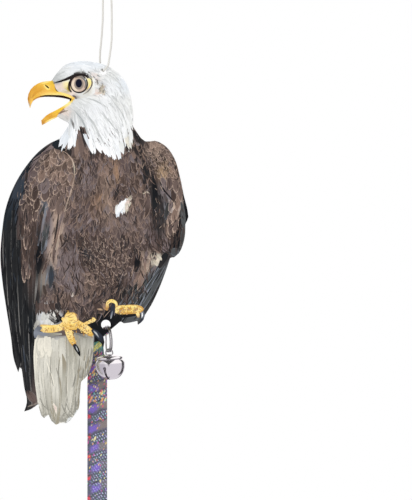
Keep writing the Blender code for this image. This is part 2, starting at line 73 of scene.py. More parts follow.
INKS = {
    # whites and greys of the head, the tail and the thighs
    "snow": (244, 245, 246), "white": (236, 238, 240), "frost": (222, 227, 232), "pearl": (228, 229, 227),
    "ice": (208, 218, 230), "ash": (208, 210, 209), "dove": (188, 191, 191), "shade": (165, 170, 172),
    "cream": (236, 224, 204), "ivory": (244, 238, 224), "linen": (205, 198, 182), "fawn": (186, 176, 158),
    "blush": (224, 206, 196), "smoke": (120, 118, 116),
    "shell": (227, 222, 208), "chalk": (209, 206, 195), "bone": (189, 186, 175), "stone": (170, 167, 155),
    "flint": (140, 138, 129), "drab": (150, 143, 126),
    # blacks and blues of the wings
    "black": (22, 23, 26), "coal": (34, 35, 37), "ink": (31, 37, 43), "navy": (26, 28, 48),
    "slate": (52, 58, 67), "steel": (86, 90, 98), "mist": (128, 133, 143), "sky": (168, 182, 192),
    "lead": (77, 79, 80), "pewter": (59, 59, 59), "char": (50, 46, 46),
    # browns of the body and the coverts
    "umber": (72, 60, 56), "bark": (95, 81, 77), "brown": (110, 94, 88), "plum": (98, 85, 85),
    "mauve": (118, 105, 104), "lilac": (128, 118, 120), "tan": (160, 138, 124), "sand": (186, 164, 148),
    "rust": (146, 118, 98), "gilt": (176, 148, 118), "hazel": (132, 111, 100), "taupe": (138, 127, 118),
    # yellows of the beak and the feet
    "orange": (212, 154, 58), "gold": (228, 179, 72), "yolk": (230, 187, 62), "honey": (240, 192, 96),
    "butter": (246, 216, 124), "straw": (240, 226, 150), "amber": (192, 137, 62), "olive": (172, 150, 66),
    "foot": (234, 196, 108), "foot_pale": (242, 216, 146), "foot_dim": (196, 146, 70),
    "iris": (196, 174, 158), "iris_pale": (226, 208, 186), "pupil": (20, 22, 38), "gape": (34, 16, 10), "brow": (38, 32, 32),
    "claw": (48, 52, 62), "claw_grey": (104, 108, 116),
}


def ink(name):
    """A named ink as linear light."""
    return np.array([(c / 255 / 12.92) if c <= 10 else ((c / 255 + 0.055) / 1.055) ** 2.4 for c in INKS[name]])


INK = {name: ink(name) for name in INKS}


def spot(column, row, lift=0.0):
    """A place on the front face, that many millimetres above the film."""
    return Vector(((column - HANG_COLUMN) * MM, -(FILM_FACE + lift * MM), (HANG_ROW - row) * MM))


def new_mesh_object(name, bm, body, material, smooth=True):
    mesh = bpy.data.meshes.new(name)
    bm.to_mesh(mesh)
    bm.free()
    if smooth:
        mesh.shade_smooth()
    obj = bpy.data.objects.new(name, mesh)
    bpy.context.scene.collection.objects.link(obj)
    mesh.materials.append(material)
    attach(obj, body)
    return obj


def smooth_line(points, step):
    """Rows of numbers about one step apart on a smooth line through the given rows, read on the first two."""
    rows = [np.array(point, float) for point in points]
    if len(rows) == 2:
        count = max(2, round(float(np.linalg.norm((rows[1] - rows[0])[:2])) / step))
        return [rows[0] + (rows[1] - rows[0]) * i / count for i in range(count + 1)]
    line = [rows[0]]
    for i in range(len(rows) - 1):
        a, b = rows[i], rows[i + 1]
        before = rows[i - 1] if i else a * 2 - b
        after = rows[i + 2] if i + 2 < len(rows) else b * 2 - a
        count = max(2, round(float(np.linalg.norm((b - a)[:2])) / step))
        for k in range(1, count + 1):
            t = k / count
            slope_a, slope_b = (b - before) / 2, (after - a) / 2
            line.append((2 * t**3 - 3 * t**2 + 1) * a + (t**3 - 2 * t**2 + t) * slope_a
                        + (3 * t**2 - 2 * t**3) * b + (t**3 - t**2) * slope_b)
    return line


class Airbrush:
    """Soft spots of ink over each other: (column, row, reach across, reach down, ink, strength)."""

    def __init__(self, base, spots):
        self.base = INK[base]
        self.places = np.array([spot_[:4] for spot_ in spots], float)
        self.inks = np.array([INK[spot_[4]] for spot_ in spots])
        self.strength = np.array([spot_[5] if len(spot_) > 5 else 1.0 for spot_ in spots])

    def at(self, column, row):
        p = self.places
        far = ((column - p[:, 0]) / p[:, 2]) ** 2 + ((row - p[:, 1]) / p[:, 3]) ** 2
        weight = self.strength * np.exp(-far)
        return (self.base * 0.06 + weight @ self.inks) / (0.06 + weight.sum())


class Board:
    """The die-cut front face, which every printed shape is trimmed to."""

    def __init__(self):
        bm = bmesh.new()
        bm.from_mesh(NODES["front_print"].data)
        near = min(vert.co.y for vert in bm.verts)
        bmesh.ops.delete(bm, geom=[face for face in bm.faces if face.calc_center_median().y > near + 1e-5],
                         context="FACES")
        self.tree = BVHTree.FromBMesh(bm)
        bm.free()
        self.near = near

    def nearest(self, place):
        at, _, _, far = self.tree.find_nearest(Vector((place.x, self.near, place.z)))
        return at, math.hypot(place.x - at.x, place.z - at.z)


board = Board()


class Print:
    """One printed region: thin shapes of ink laid over the film, each with its colours and its barbs."""

    def __init__(self, name, air=None, seed=1):
        self.name, self.air = name, air
        self.chance = random.Random(seed)
        self.bm = bmesh.new()
        self.ground = self.bm.verts.layers.float_color.new("ground")
        self.rim = self.bm.verts.layers.float_color.new("rim")
        self.vane = self.bm.verts.layers.float_vector.new("vane")
        self.reach = self.bm.verts.layers.float_vector.new("reach")

    def grid(self, columns, rows):
        made = bmesh.ops.create_grid(self.bm, x_segments=columns, y_segments=rows, size=1.0)
        return made["verts"]

    def put(self, vert, place, ground, rim, rim_strength, vane, reach):
        vert.co = place
        vert[self.ground] = (*ground, 1.0)
        vert[self.rim] = (*rim, rim_strength)
        vert[self.vane] = vane
        vert[self.reach] = reach

    def feather(self, column, row, heading, length, half, tint, rim, rim_strength, barbs, level,
                bend=0.0, tip=0.45, columns=3, rows=6):
        """One feather from its root, heading in degrees down from the right, tint from root to tip."""
        seed = self.chance.random()
        turn = math.radians(heading)
        for vert in self.grid(columns, rows):
            across, along = vert.co.x, 1 - (1 - (vert.co.y + 1) / 2) ** 1.5
            wide = min(1.0, 0.45 + along * 1.6)
            if along > tip:
                wide *= math.sqrt(max(0.0, 1 - ((along - tip) / (1 - tip)) ** 2))
            wide = max(wide, 0.06)
            curve = bend * along ** 2 * length
            ahead, aside = along * length, across * half * wide + curve
            place = spot(column + ahead * math.cos(turn) - aside * math.sin(turn),
                         row + ahead * math.sin(turn) + aside * math.cos(turn),
                         level + 0.05 * along + 0.012 * across - 0.012 * abs(across))
            colour = tint[0] * (1 - along) + tint[1] * along
            self.put(vert, place, colour, rim, rim_strength, (across, along, seed), (half, length, barbs))

    def tract(self, outline, pitch, length, half, flow, rim, rim_strength, barbs, level,
              jitter=0.35, shade=0.12, turn=9.0, bend=0.12, tip=0.45, stray=(), deep=0.94):
        """Feathers scattered in rows over a region, each lying along the nearest flow directions."""
        xs, ys = [p[0] for p in outline], [p[1] for p in outline]
        rim_ink = INK[rim] if rim else None
        row, line = min(ys), 0
        while row < max(ys):
            column = min(xs) + (pitch[0] / 2 if line % 2 else 0)
            while column < max(xs):
                x = column + self.chance.uniform(-jitter, jitter) * pitch[0]
                y = row + self.chance.uniform(-jitter, jitter) * pitch[1]
                luck = [self.chance.random() for _ in range(6)]
                if inside(outline, x, y):
                    heading = flow_at(flow, x, y) + (luck[0] - 0.5) * 2 * turn
                    size = 0.8 + 0.4 * luck[1]
                    far, thin = length * size, half * (0.85 + 0.3 * luck[2])
                    turned = math.radians(heading)
                    root = (x - 0.5 * far * math.cos(turned), y - 0.5 * far * math.sin(turned))
                    tone = 1 + (luck[3] - 0.5) * 2 * shade
                    first = self.air.at(x - 0.3 * far * math.cos(turned), y - 0.3 * far * math.sin(turned))
                    last = self.air.at(x + 0.4 * far * math.cos(turned), y + 0.4 * far * math.sin(turned))
                    if stray and luck[4] < stray[1]:
                        other = INK[stray[0][int(luck[5] * len(stray[0]))]]
                        first, last = first * 0.45 + other * 0.55, last * 0.35 + other * 0.65
                    edge = rim_ink if rim else last * 1.25
                    self.feather(*root, heading, far, thin, (first * tone * deep, last * tone), edge,
                                 rim_strength * (0.55 + 0.9 * luck[5]), barbs, level,
                                 bend=(luck[1] - 0.5) * 2 * bend, tip=tip)
                column += pitch[0]
            row += pitch[1] * 0.866
            line += 1

    def wisps(self, outline, count, inks, half, length, flow, turn, level, barbs=0.3, bend=0.45):
        """Fine curved strokes strewn over a region along its flow."""
        xs, ys = [p[0] for p in outline], [p[1] for p in outline]
        for _ in range(count):
            x, y = self.chance.uniform(min(xs), max(xs)), self.chance.uniform(min(ys), max(ys))
            luck = [self.chance.uniform(-1, 1) for _ in range(6)]
            if inside(outline, x, y):
                tint = INK[inks[int((luck[2] + 1) * 0.4999 * len(inks))]] * (1 + 0.12 * luck[3])
                self.feather(x, y, flow_at(flow, x, y) + luck[0] * turn, length * (1 + 0.4 * luck[1]),
                             half * (1 + 0.4 * luck[4]), (tint, tint), tint, 0.0, barbs, level + 0.02 * luck[4],
                             bend=bend * luck[5], tip=0.2, columns=1, rows=6)

    def tuft(self, column, row, heading, length, half, tint, rim, rim_strength, barbs, level, count=4):
        """Several thin feathers fanned out from one root."""
        turn = math.radians(heading)
        for k in range(count):
            aside = (k / (count - 1) - 0.5) * 2 * half * 0.8
            luck = [self.chance.uniform(-1, 1) for _ in range(4)]
            tone = 1 + 0.05 * luck[3]
            self.feather(column - aside * math.sin(turn) + luck[0] * 0.5, row + aside * math.cos(turn) + luck[1] * 1.2,
                         heading - aside * 1.6 + luck[1] * 3, length * (0.9 + 0.15 * luck[2]), half * 0.5,
                         (INK[tint] * tone * 0.97, INK[tint] * tone), INK[rim], rim_strength, barbs,
                         level + 0.004 * k, bend=0.06 * luck[0], tip=0.12)

    def ribs(self, points, level, inks, step=1.5, thick=0.42, barbs=0.3):
        """Short cross strokes along a smooth line of (column, row, half width), as the scales of a toe."""
        line = smooth_line(points, step)
        for i, (a, b) in enumerate(zip(line, line[1:])):
            ahead = (b - a)[:2] / max(1e-9, float(np.linalg.norm((b - a)[:2])))
            half = float(a[2]) * self.chance.uniform(0.2, 0.6)
            lean = self.chance.uniform(-0.3, 0.3)
            shift = self.chance.uniform(-0.6, 0.6) * float(a[2])
            side = np.array([-ahead[1] + lean * ahead[0], ahead[0] + lean * ahead[1]])
            mid = a[:2] + side * shift
            tint = inks[int(self.chance.random() * len(inks))]
            ends = [mid - side * half, mid + ahead * thick * 0.8, mid + side * half]
            self.band([(*ends[0], thick * 0.3, tint), (*ends[1], thick, tint), (*ends[2], thick * 0.3, tint)],
                      level, barbs=barbs, step=1.6, columns=2)

    def band(self, points, level, rim=None, rim_strength=0.0, barbs=0.0, step=1.6, columns=4, round_end=True,
             lean=0.0):
        """A long shape along a smooth line of (column, row, half width, ink name or None for the airbrush)."""
        rows_in = []
        for x, y, half, tint in points:
            colour = INK[tint] if tint else self.air.at(x, y)
            rows_in.append((x, y, half, *colour))
        line = smooth_line(rows_in, step)
        count = len(line) - 1
        seed = self.chance.random()
        spans = [float(np.linalg.norm((b - a)[:2])) for a, b in zip(line, line[1:])]
        length, walked = sum(spans), [0.0]
        for span in spans:
            walked.append(walked[-1] + span)
        edge = INK[rim] if rim else np.array((0.0, 0.0, 0.0))
        for vert in self.grid(columns, count):
            across = vert.co.x
            i = round((vert.co.y + 1) / 2 * count)
            a, b = line[max(0, i - 1)], line[min(count, i + 1)]
            ahead = (b - a)[:2] / max(1e-9, float(np.linalg.norm((b - a)[:2])))
            half = max(0.05, float(line[i][2]))
            x = line[i][0] - across * half * ahead[1]
            y = line[i][1] + across * half * ahead[0]
            along = walked[i] / length
            lift = level + 0.02 * along + lean * across - 0.01 * abs(across)
            self.put(vert, spot(x, y, lift), np.clip(line[i][3:6], 0.0, 1.0), edge, rim_strength,
                     (across, along if round_end else 0.3, seed), (half, length, barbs))

    def disc(self, column, row, rings, level, sides=40, barbs=0.0):
        """A round or oval patch: (half width, half height, ink) from the middle outwards."""
        seed = self.chance.random()
        count = len(rings) - 1
        for vert in self.grid(sides, count):
            i = round((vert.co.y + 1) / 2 * count)
            wide, high, tint = rings[i]
            turn = (vert.co.x + 1) * math.pi
            place = spot(column + wide * math.cos(turn), row + high * math.sin(turn), level)
            self.put(vert, place, INK[tint], INK[tint], 0.0, (math.sin(turn * 9) * 0.8, 0.3, seed),
                     (2.0, 8.0, barbs))

    def panel(self, upper, lower, level, columns, rows, barbs=0.0, air=None):
        """A patch between two smooth lines, tinted by the airbrush."""
        air = air or self.air
        seed = self.chance.random()
        edges = [[np.array(p) for p in smooth_line([(*p, 0.0) for p in line], 1.0)] for line in (upper, lower)]
        for vert in self.grid(columns, rows):
            along, down = (vert.co.x + 1) / 2, (vert.co.y + 1) / 2
            ends = []
            for edge in edges:
                at = along * (len(edge) - 1)
                i = min(len(edge) - 2, int(at))
                ends.append(edge[i] + (edge[i + 1] - edge[i]) * (at - i))
            x, y = (ends[0] + (ends[1] - ends[0]) * down)[:2]
            colour = air.at(x, y)
            self.put(vert, spot(x, y, level), colour, colour, 0.0, (down * 2 - 1, 0.3, seed),
                     (6.0, 40.0, barbs))

    def trim(self):
        """Draw what runs off the board or into a hole back to the edge, and drop what then has no area."""
        bm = self.bm
        for column, row, radius in (HEAD_HOLE, LOWER_HOLE):
            centre = spot(column, row)
            near = [face for face in bm.faces
                    if math.dist((face.calc_center_median().x, face.calc_center_median().z),
                                 (centre.x, centre.z)) < (radius + 3.0) * MM]
            edges = {edge for face in near for edge in face.edges if edge.calc_length() > 0.7 * MM}
            bmesh.ops.subdivide_edges(bm, edges=list(edges), cuts=2, use_grid_fill=True)
            inner = [face for face in bm.faces
                     if math.dist((face.calc_center_median().x, face.calc_center_median().z),
                                  (centre.x, centre.z)) < radius * MM]
            bmesh.ops.delete(bm, geom=inner, context="FACES")
        gone = []
        for face in bm.faces:
            _, off = board.nearest(face.calc_center_median())
            if off > 0.35 * MM:
                gone.append(face)
        bmesh.ops.delete(bm, geom=gone, context="FACES")
        for vert in bm.verts:
            at, off = board.nearest(vert.co)
            if off > 1e-6:
                vert.co.x, vert.co.z = at.x, at.z
        bmesh.ops.dissolve_degenerate(bm, dist=0.004 * MM, edges=bm.edges)
        bmesh.ops.delete(bm, geom=[face for face in bm.faces if face.calc_area() < 1e-10], context="FACES")
        bmesh.ops.delete(bm, geom=[vert for vert in bm.verts if not vert.link_faces], context="VERTS")
        turned = [face for face in bm.faces if face.normal.y > 0]
        bmesh.ops.reverse_faces(bm, faces=turned)

    def finish(self, material):
        """The region on the front face, and its mirror image on the back."""
        self.trim()
        back = self.bm.copy()
        new_mesh_object(self.name + "_front", self.bm, "board", material)
        for vert in back.verts:
            vert.co.y = -vert.co.y
        bmesh.ops.reverse_faces(back, faces=back.faces)
        new_mesh_object(self.name + "_back", back, "board", material)


def inside(outline, x, y):
    hit = False
    for (x1, y1), (x2, y2) in zip(outline, outline[1:] + outline[:1]):
        if (y1 > y) != (y2 > y) and x < x1 + (y - y1) / (y2 - y1) * (x2 - x1):
            hit = not hit
    return hit


def flow_at(flow, x, y):
    """The heading of the nearest controls, (column, row, degrees down from the right), nearer ones counting more."""
    ahead, down = 0.0, 0.0
    for column, row, heading in flow:
        weight = 1 / ((x - column) ** 2 + (y - row) ** 2 + 9.0) ** 1.5
        ahead += weight * math.cos(math.radians(heading))
        down += weight * math.sin(math.radians(heading))
    return math.degrees(math.atan2(down, ahead))


def new_group(name, inputs, outputs):
    group = bpy.data.node_groups.new(name, "ShaderNodeTree")
    for label, kind, value in inputs:
        socket = group.interface.new_socket(label, in_out="INPUT", socket_type=kind)
        if value is not None:
            socket.default_value = value
    for label, kind in outputs:
        group.interface.new_socket(label, in_out="OUTPUT", socket_type=kind)
    return group, Nodes(group)


class Nodes:
    """Shorthand for laying out shader nodes in a tree."""

    def __init__(self, tree):
        self.tree = tree
        self.count = 0

    def add(self, kind, values=(), **settings):
        node = self.tree.nodes.new("ShaderNode" + kind)
        node.location = (-1200 + 190 * (self.count % 8), 300 - 240 * (self.count // 8))
        self.count += 1
        for key, value in settings.items():
            setattr(node, key, value)
        for socket, value in dict(values).items():
            if isinstance(value, bpy.types.NodeSocket):
                self.tree.links.new(value, node.inputs[socket])
            else:
                node.inputs[socket].default_value = value
        return node

    def math(self, operation, a, b=0.0, c=0.0, clamp=False):
        node = self.add("Math", {0: a, 1: b, 2: c}, operation=operation)
        node.use_clamp = clamp
        return node.outputs[0]

    def mix(self, factor, a, b, blend="MIX"):
        node = self.add("Mix", {0: factor, 6: a, 7: b}, data_type="RGBA", blend_type=blend)
        return node.outputs[2]

    def ramp(self, value, low, high):
        node = self.add("MapRange", {0: value, 1: low, 2: high}, interpolation_type="SMOOTHSTEP")
        return node.outputs[0]

    def noise(self, vector, scale, detail=3.0, rough=0.5):
        node = self.add("TexNoise", {"Vector": vector, "Scale": scale, "Detail": detail, "Roughness": rough})
        return node.outputs[0]

    def scaled(self, vector, factors):
        return self.add("VectorMath", {0: vector, 1: factors}, operation="MULTIPLY").outputs[0]

    def bump(self, height, strength, distance):
        return self.add("Bump", {"Height": height, "Strength": strength, "Distance": distance}).outputs[0]


def object_place(nodes):
    return nodes.add("TexCoord").outputs["Object"]


def new_material(name, colour=(0.5, 0.5, 0.5), roughness=0.5, metallic=0.0, **sockets):
    material = bpy.data.materials.new(name)
    material.use_nodes = True
    shader = material.node_tree.nodes["Principled BSDF"]
    shader.location = (500, 300)
    shader.inputs["Base Color"].default_value = (*colour, 1.0)
    shader.inputs["Roughness"].default_value = roughness
    shader.inputs["Metallic"].default_value = metallic
    for label, value in sockets.items():
        shader.inputs[label.replace("_", " ")].default_value = value
    return material, Nodes(material.node_tree), shader


def wear_group():
    """Fine handling marks: a slow drift of tone, a fine grain and hairline scuffs, all from the place."""
    group, nodes = new_group("handling marks",
                             [("Place", "NodeSocketVector", None), ("Drift", "NodeSocketFloat", 30.0),
                              ("Grain", "NodeSocketFloat", 900.0), ("Scuff", "NodeSocketFloat", 60.0)],
                             [("Tone", "NodeSocketFloat"), ("Fine", "NodeSocketFloat"), ("Marks", "NodeSocketFloat")])
    given = group.nodes.new("NodeGroupInput")
    out = group.nodes.new("NodeGroupOutput")
    place = given.outputs["Place"]
    drift = nodes.noise(place, given.outputs["Drift"], 4.0, 0.55)
    grain = nodes.noise(place, given.outputs["Grain"], 2.0, 0.6)
    stretched = nodes.scaled(place, (1.0, 6.0, 0.35))
    scuff = nodes.noise(stretched, given.outputs["Scuff"], 6.0, 0.75)
    marks = nodes.ramp(scuff, 0.6, 0.72)
    for socket, value in ((0, drift), (1, grain), (2, marks)):
        group.links.new(value, out.inputs[socket])
    return group


def use_wear(nodes, group, place, drift, grain, scuff):
    node = nodes.add("Group")
    node.node_tree = group
    nodes.tree.links.new(place, node.inputs["Place"])
    for label, value in (("Drift", drift), ("Grain", grain), ("Scuff", scuff)):
        node.inputs[label].default_value = value
    return node.outputs


def plume_group():
    """Barbs, a shaft and a fringe, drawn from each feather's own measures in millimetres."""
    group, nodes = new_group("feather ink",
                             [("Ground", "NodeSocketColor", None), ("Rim", "NodeSocketColor", None),
                              ("Rim strength", "NodeSocketFloat", 0.0), ("Vane", "NodeSocketVector", None),
                              ("Reach", "NodeSocketVector", None), ("Place", "NodeSocketVector", None)],
                             [("Colour", "NodeSocketColor"), ("Height", "NodeSocketFloat")])
    given = group.nodes.new("NodeGroupInput")
    out = group.nodes.new("NodeGroupOutput")
    vane = nodes.add("SeparateXYZ", {0: given.outputs["Vane"]}).outputs
    reach = nodes.add("SeparateXYZ", {0: given.outputs["Reach"]}).outputs
    side = nodes.math("ABSOLUTE", vane[0])
    wide = nodes.math("MULTIPLY", side, reach[0])
    far = nodes.math("MULTIPLY", vane[1], reach[1])
    slant = nodes.math("SUBTRACT", far, nodes.math("MULTIPLY", wide, 1.3))
    seed = nodes.math("MULTIPLY", vane[2], 61.0)
    hatch = nodes.add("CombineXYZ", {0: nodes.math("MULTIPLY", slant, 1.9), 1: nodes.math("MULTIPLY", wide, 0.3),
                                     2: seed}).outputs[0]
    barb = nodes.noise(hatch, 1.0, 3.0, 0.7)
    streak = nodes.add("CombineXYZ", {0: nodes.math("MULTIPLY", nodes.math("MULTIPLY", vane[0], reach[0]), 1.7),
                                      1: nodes.math("MULTIPLY", far, 0.12), 2: seed}).outputs[0]
    streak = nodes.noise(streak, 1.0, 2.0, 0.6)
    speck = nodes.noise(given.outputs["Place"], 520.0, 3.0, 0.65)
    sway = nodes.math("ADD", nodes.math("MULTIPLY", nodes.math("SUBTRACT", barb, 0.5), 0.9),
                      nodes.math("MULTIPLY", nodes.math("SUBTRACT", streak, 0.5), 0.9))
    sway = nodes.math("ADD", sway, nodes.math("MULTIPLY", nodes.math("SUBTRACT", speck, 0.5), 0.9))
    tone = nodes.math("ADD", 1.0, nodes.math("MULTIPLY", sway, reach[2]))
    shaft = nodes.math("MULTIPLY", nodes.ramp(wide, 0.3, 0.12), nodes.math("MULTIPLY", reach[2], 0.35))
    tone = nodes.math("SUBTRACT", tone, shaft)
    inked = nodes.mix(1.0, given.outputs["Ground"],
                      nodes.add("CombineColor", {0: tone, 1: tone, 2: tone}).outputs[0], "MULTIPLY")
    tip = nodes.math("MAXIMUM", nodes.math("DIVIDE", nodes.math("SUBTRACT", vane[1], 0.5), 0.5), 0.0)
    rim = nodes.math("SQRT", nodes.math("ADD", nodes.math("MULTIPLY", vane[0], vane[0]),
                                        nodes.math("MULTIPLY", tip, tip)))
    rim = nodes.math("ADD", rim, nodes.math("MULTIPLY", nodes.math("SUBTRACT", barb, 0.5), 0.5))
    broken = nodes.ramp(nodes.noise(given.outputs["Place"], 420.0, 2.0, 0.6), 0.3, 0.54)
    fringe = nodes.math("MULTIPLY", nodes.math("MULTIPLY", nodes.ramp(rim, 0.76, 1.0), broken),
                        given.outputs["Rim strength"], clamp=True)
    colour = nodes.mix(fringe, inked, given.outputs["Rim"])
    group.links.new(colour, out.inputs[0])
    group.links.new(barb, out.inputs[1])
    return group


def print_material(name, plume, roughness):
    material, nodes, shader = new_material(name, roughness=roughness, Specular_IOR_Level=0.06)
    ground = nodes.add("Attribute", attribute_name="ground").outputs
    rim = nodes.add("Attribute", attribute_name="rim").outputs
    vane = nodes.add("Attribute", attribute_name="vane").outputs
    reach = nodes.add("Attribute", attribute_name="reach").outputs
    node = nodes.add("Group")
    node.node_tree = plume
    links = nodes.tree.links
    links.new(ground["Color"], node.inputs["Ground"])
    links.new(rim["Color"], node.inputs["Rim"])
    links.new(rim["Alpha"], node.inputs["Rim strength"])
    links.new(vane["Vector"], node.inputs["Vane"])
    links.new(reach["Vector"], node.inputs["Reach"])
    links.new(object_place(nodes), node.inputs["Place"])
    links.new(node.outputs["Colour"], shader.inputs["Base Color"])
    uneven = nodes.noise(object_place(nodes), 260.0, 3.0)
    rough = nodes.add("MapRange", {0: uneven, 3: roughness - 0.05, 4: roughness + 0.09}).outputs[0]
    links.new(rough, shader.inputs["Roughness"])
    links.new(nodes.bump(node.outputs["Height"], 0.12, 0.00006), shader.inputs["Normal"])
    return material


HEAD_AIR = Airbrush("pearl", [
    (62, 68, 8, 5, "ash"), (56, 77, 5, 5, "dove", 1.4), (75, 64, 12, 4, "frost"), (95, 65, 14, 4, "frost"),
    (112, 73, 9, 6, "pearl"), (124, 85, 6, 8, "frost"), (70, 71, 8, 3, "white"), (90, 70, 8, 3, "white"),
    (82, 74, 5, 2, "shade", 0.8), (93, 77, 4, 3, "blush"), (103, 88, 2, 4, "smoke", 1.8), (97, 93, 5, 2.5, "blush", 1.4),
    (91, 98, 8, 4, "pearl"), (110, 90, 8, 9, "white"), (120, 105, 10, 10, "pearl"), (100, 108, 14, 8, "white"),
    (84, 104, 6, 6, "ash"), (76, 111, 5, 7, "ash", 1.2), (72, 123, 4, 4, "shade", 1.5), (82, 118, 5, 8, "dove"),
    (65, 113, 6, 5, "blush", 0.8), (60, 118, 5, 3, "dove"), (67, 138, 6, 9, "frost", 1.3), (74, 130, 5, 6, "snow"),
    (90, 125, 8, 8, "white"), (100, 135, 10, 9, "snow"), (115, 130, 10, 12, "snow"), (105, 150, 12, 8, "snow"),
    (90, 142, 6, 8, "white"), (118, 148, 8, 8, "white", 0.8), (130, 140, 4, 9, "pearl"), (131, 115, 4, 12, "pearl"),
])

FACE_AIR = Airbrush("cream", [
    (55, 88, 5, 5, "blush", 1.2), (62, 86, 5, 4, "blush"), (66, 85, 3, 4, "straw", 1.2), (67, 90, 3, 3, "olive", 1.1),
    (60, 92, 6, 2.5, "linen"), (71, 94, 5, 3, "blush"), (82, 94, 6, 2.5, "ash"), (89, 90, 4, 3, "fawn"),
    (90.5, 82, 1.8, 4.5, "straw", 1.4), (93.5, 90, 4, 4, "pearl", 1.4), (64, 80, 6, 2, "pearl"), (57, 83, 4, 3, "smoke", 0.7), (97, 80, 4, 6, "white"),
    (75, 97, 3, 2, "smoke", 0.8), (96, 90, 4, 6, "white"),
])

BEAK_AIR = Airbrush("gold", [
    (50, 84, 5, 3, "yolk", 1.2), (40, 85, 6, 3, "gold"), (33, 90, 5, 5, "orange", 1.2), (42, 90, 6, 4, "orange"),
    (47, 87, 3, 2.5, "butter"), (35, 96, 4, 4, "gold"), (29, 97, 2, 6, "amber"), (31, 103, 3, 4, "honey"),
    (50, 94.5, 7, 1.8, "butter", 1.4), (60, 95.5, 7, 1.6, "straw", 1.4), (53, 89, 4, 4, "gold"),
    (70, 98, 4, 2, "yolk", 1.3), (45, 92, 6, 2, "honey"), (54, 82, 2, 2, "olive"),
    (66, 104, 6, 2, "straw", 1.2), (57, 110, 5, 3, "yolk", 1.2), (49, 116, 5, 3, "orange", 1.3),
    (43, 122, 3, 3, "amber", 1.3), (54, 114, 3, 2, "gold"), (45, 119, 3, 2, "gold"),
])

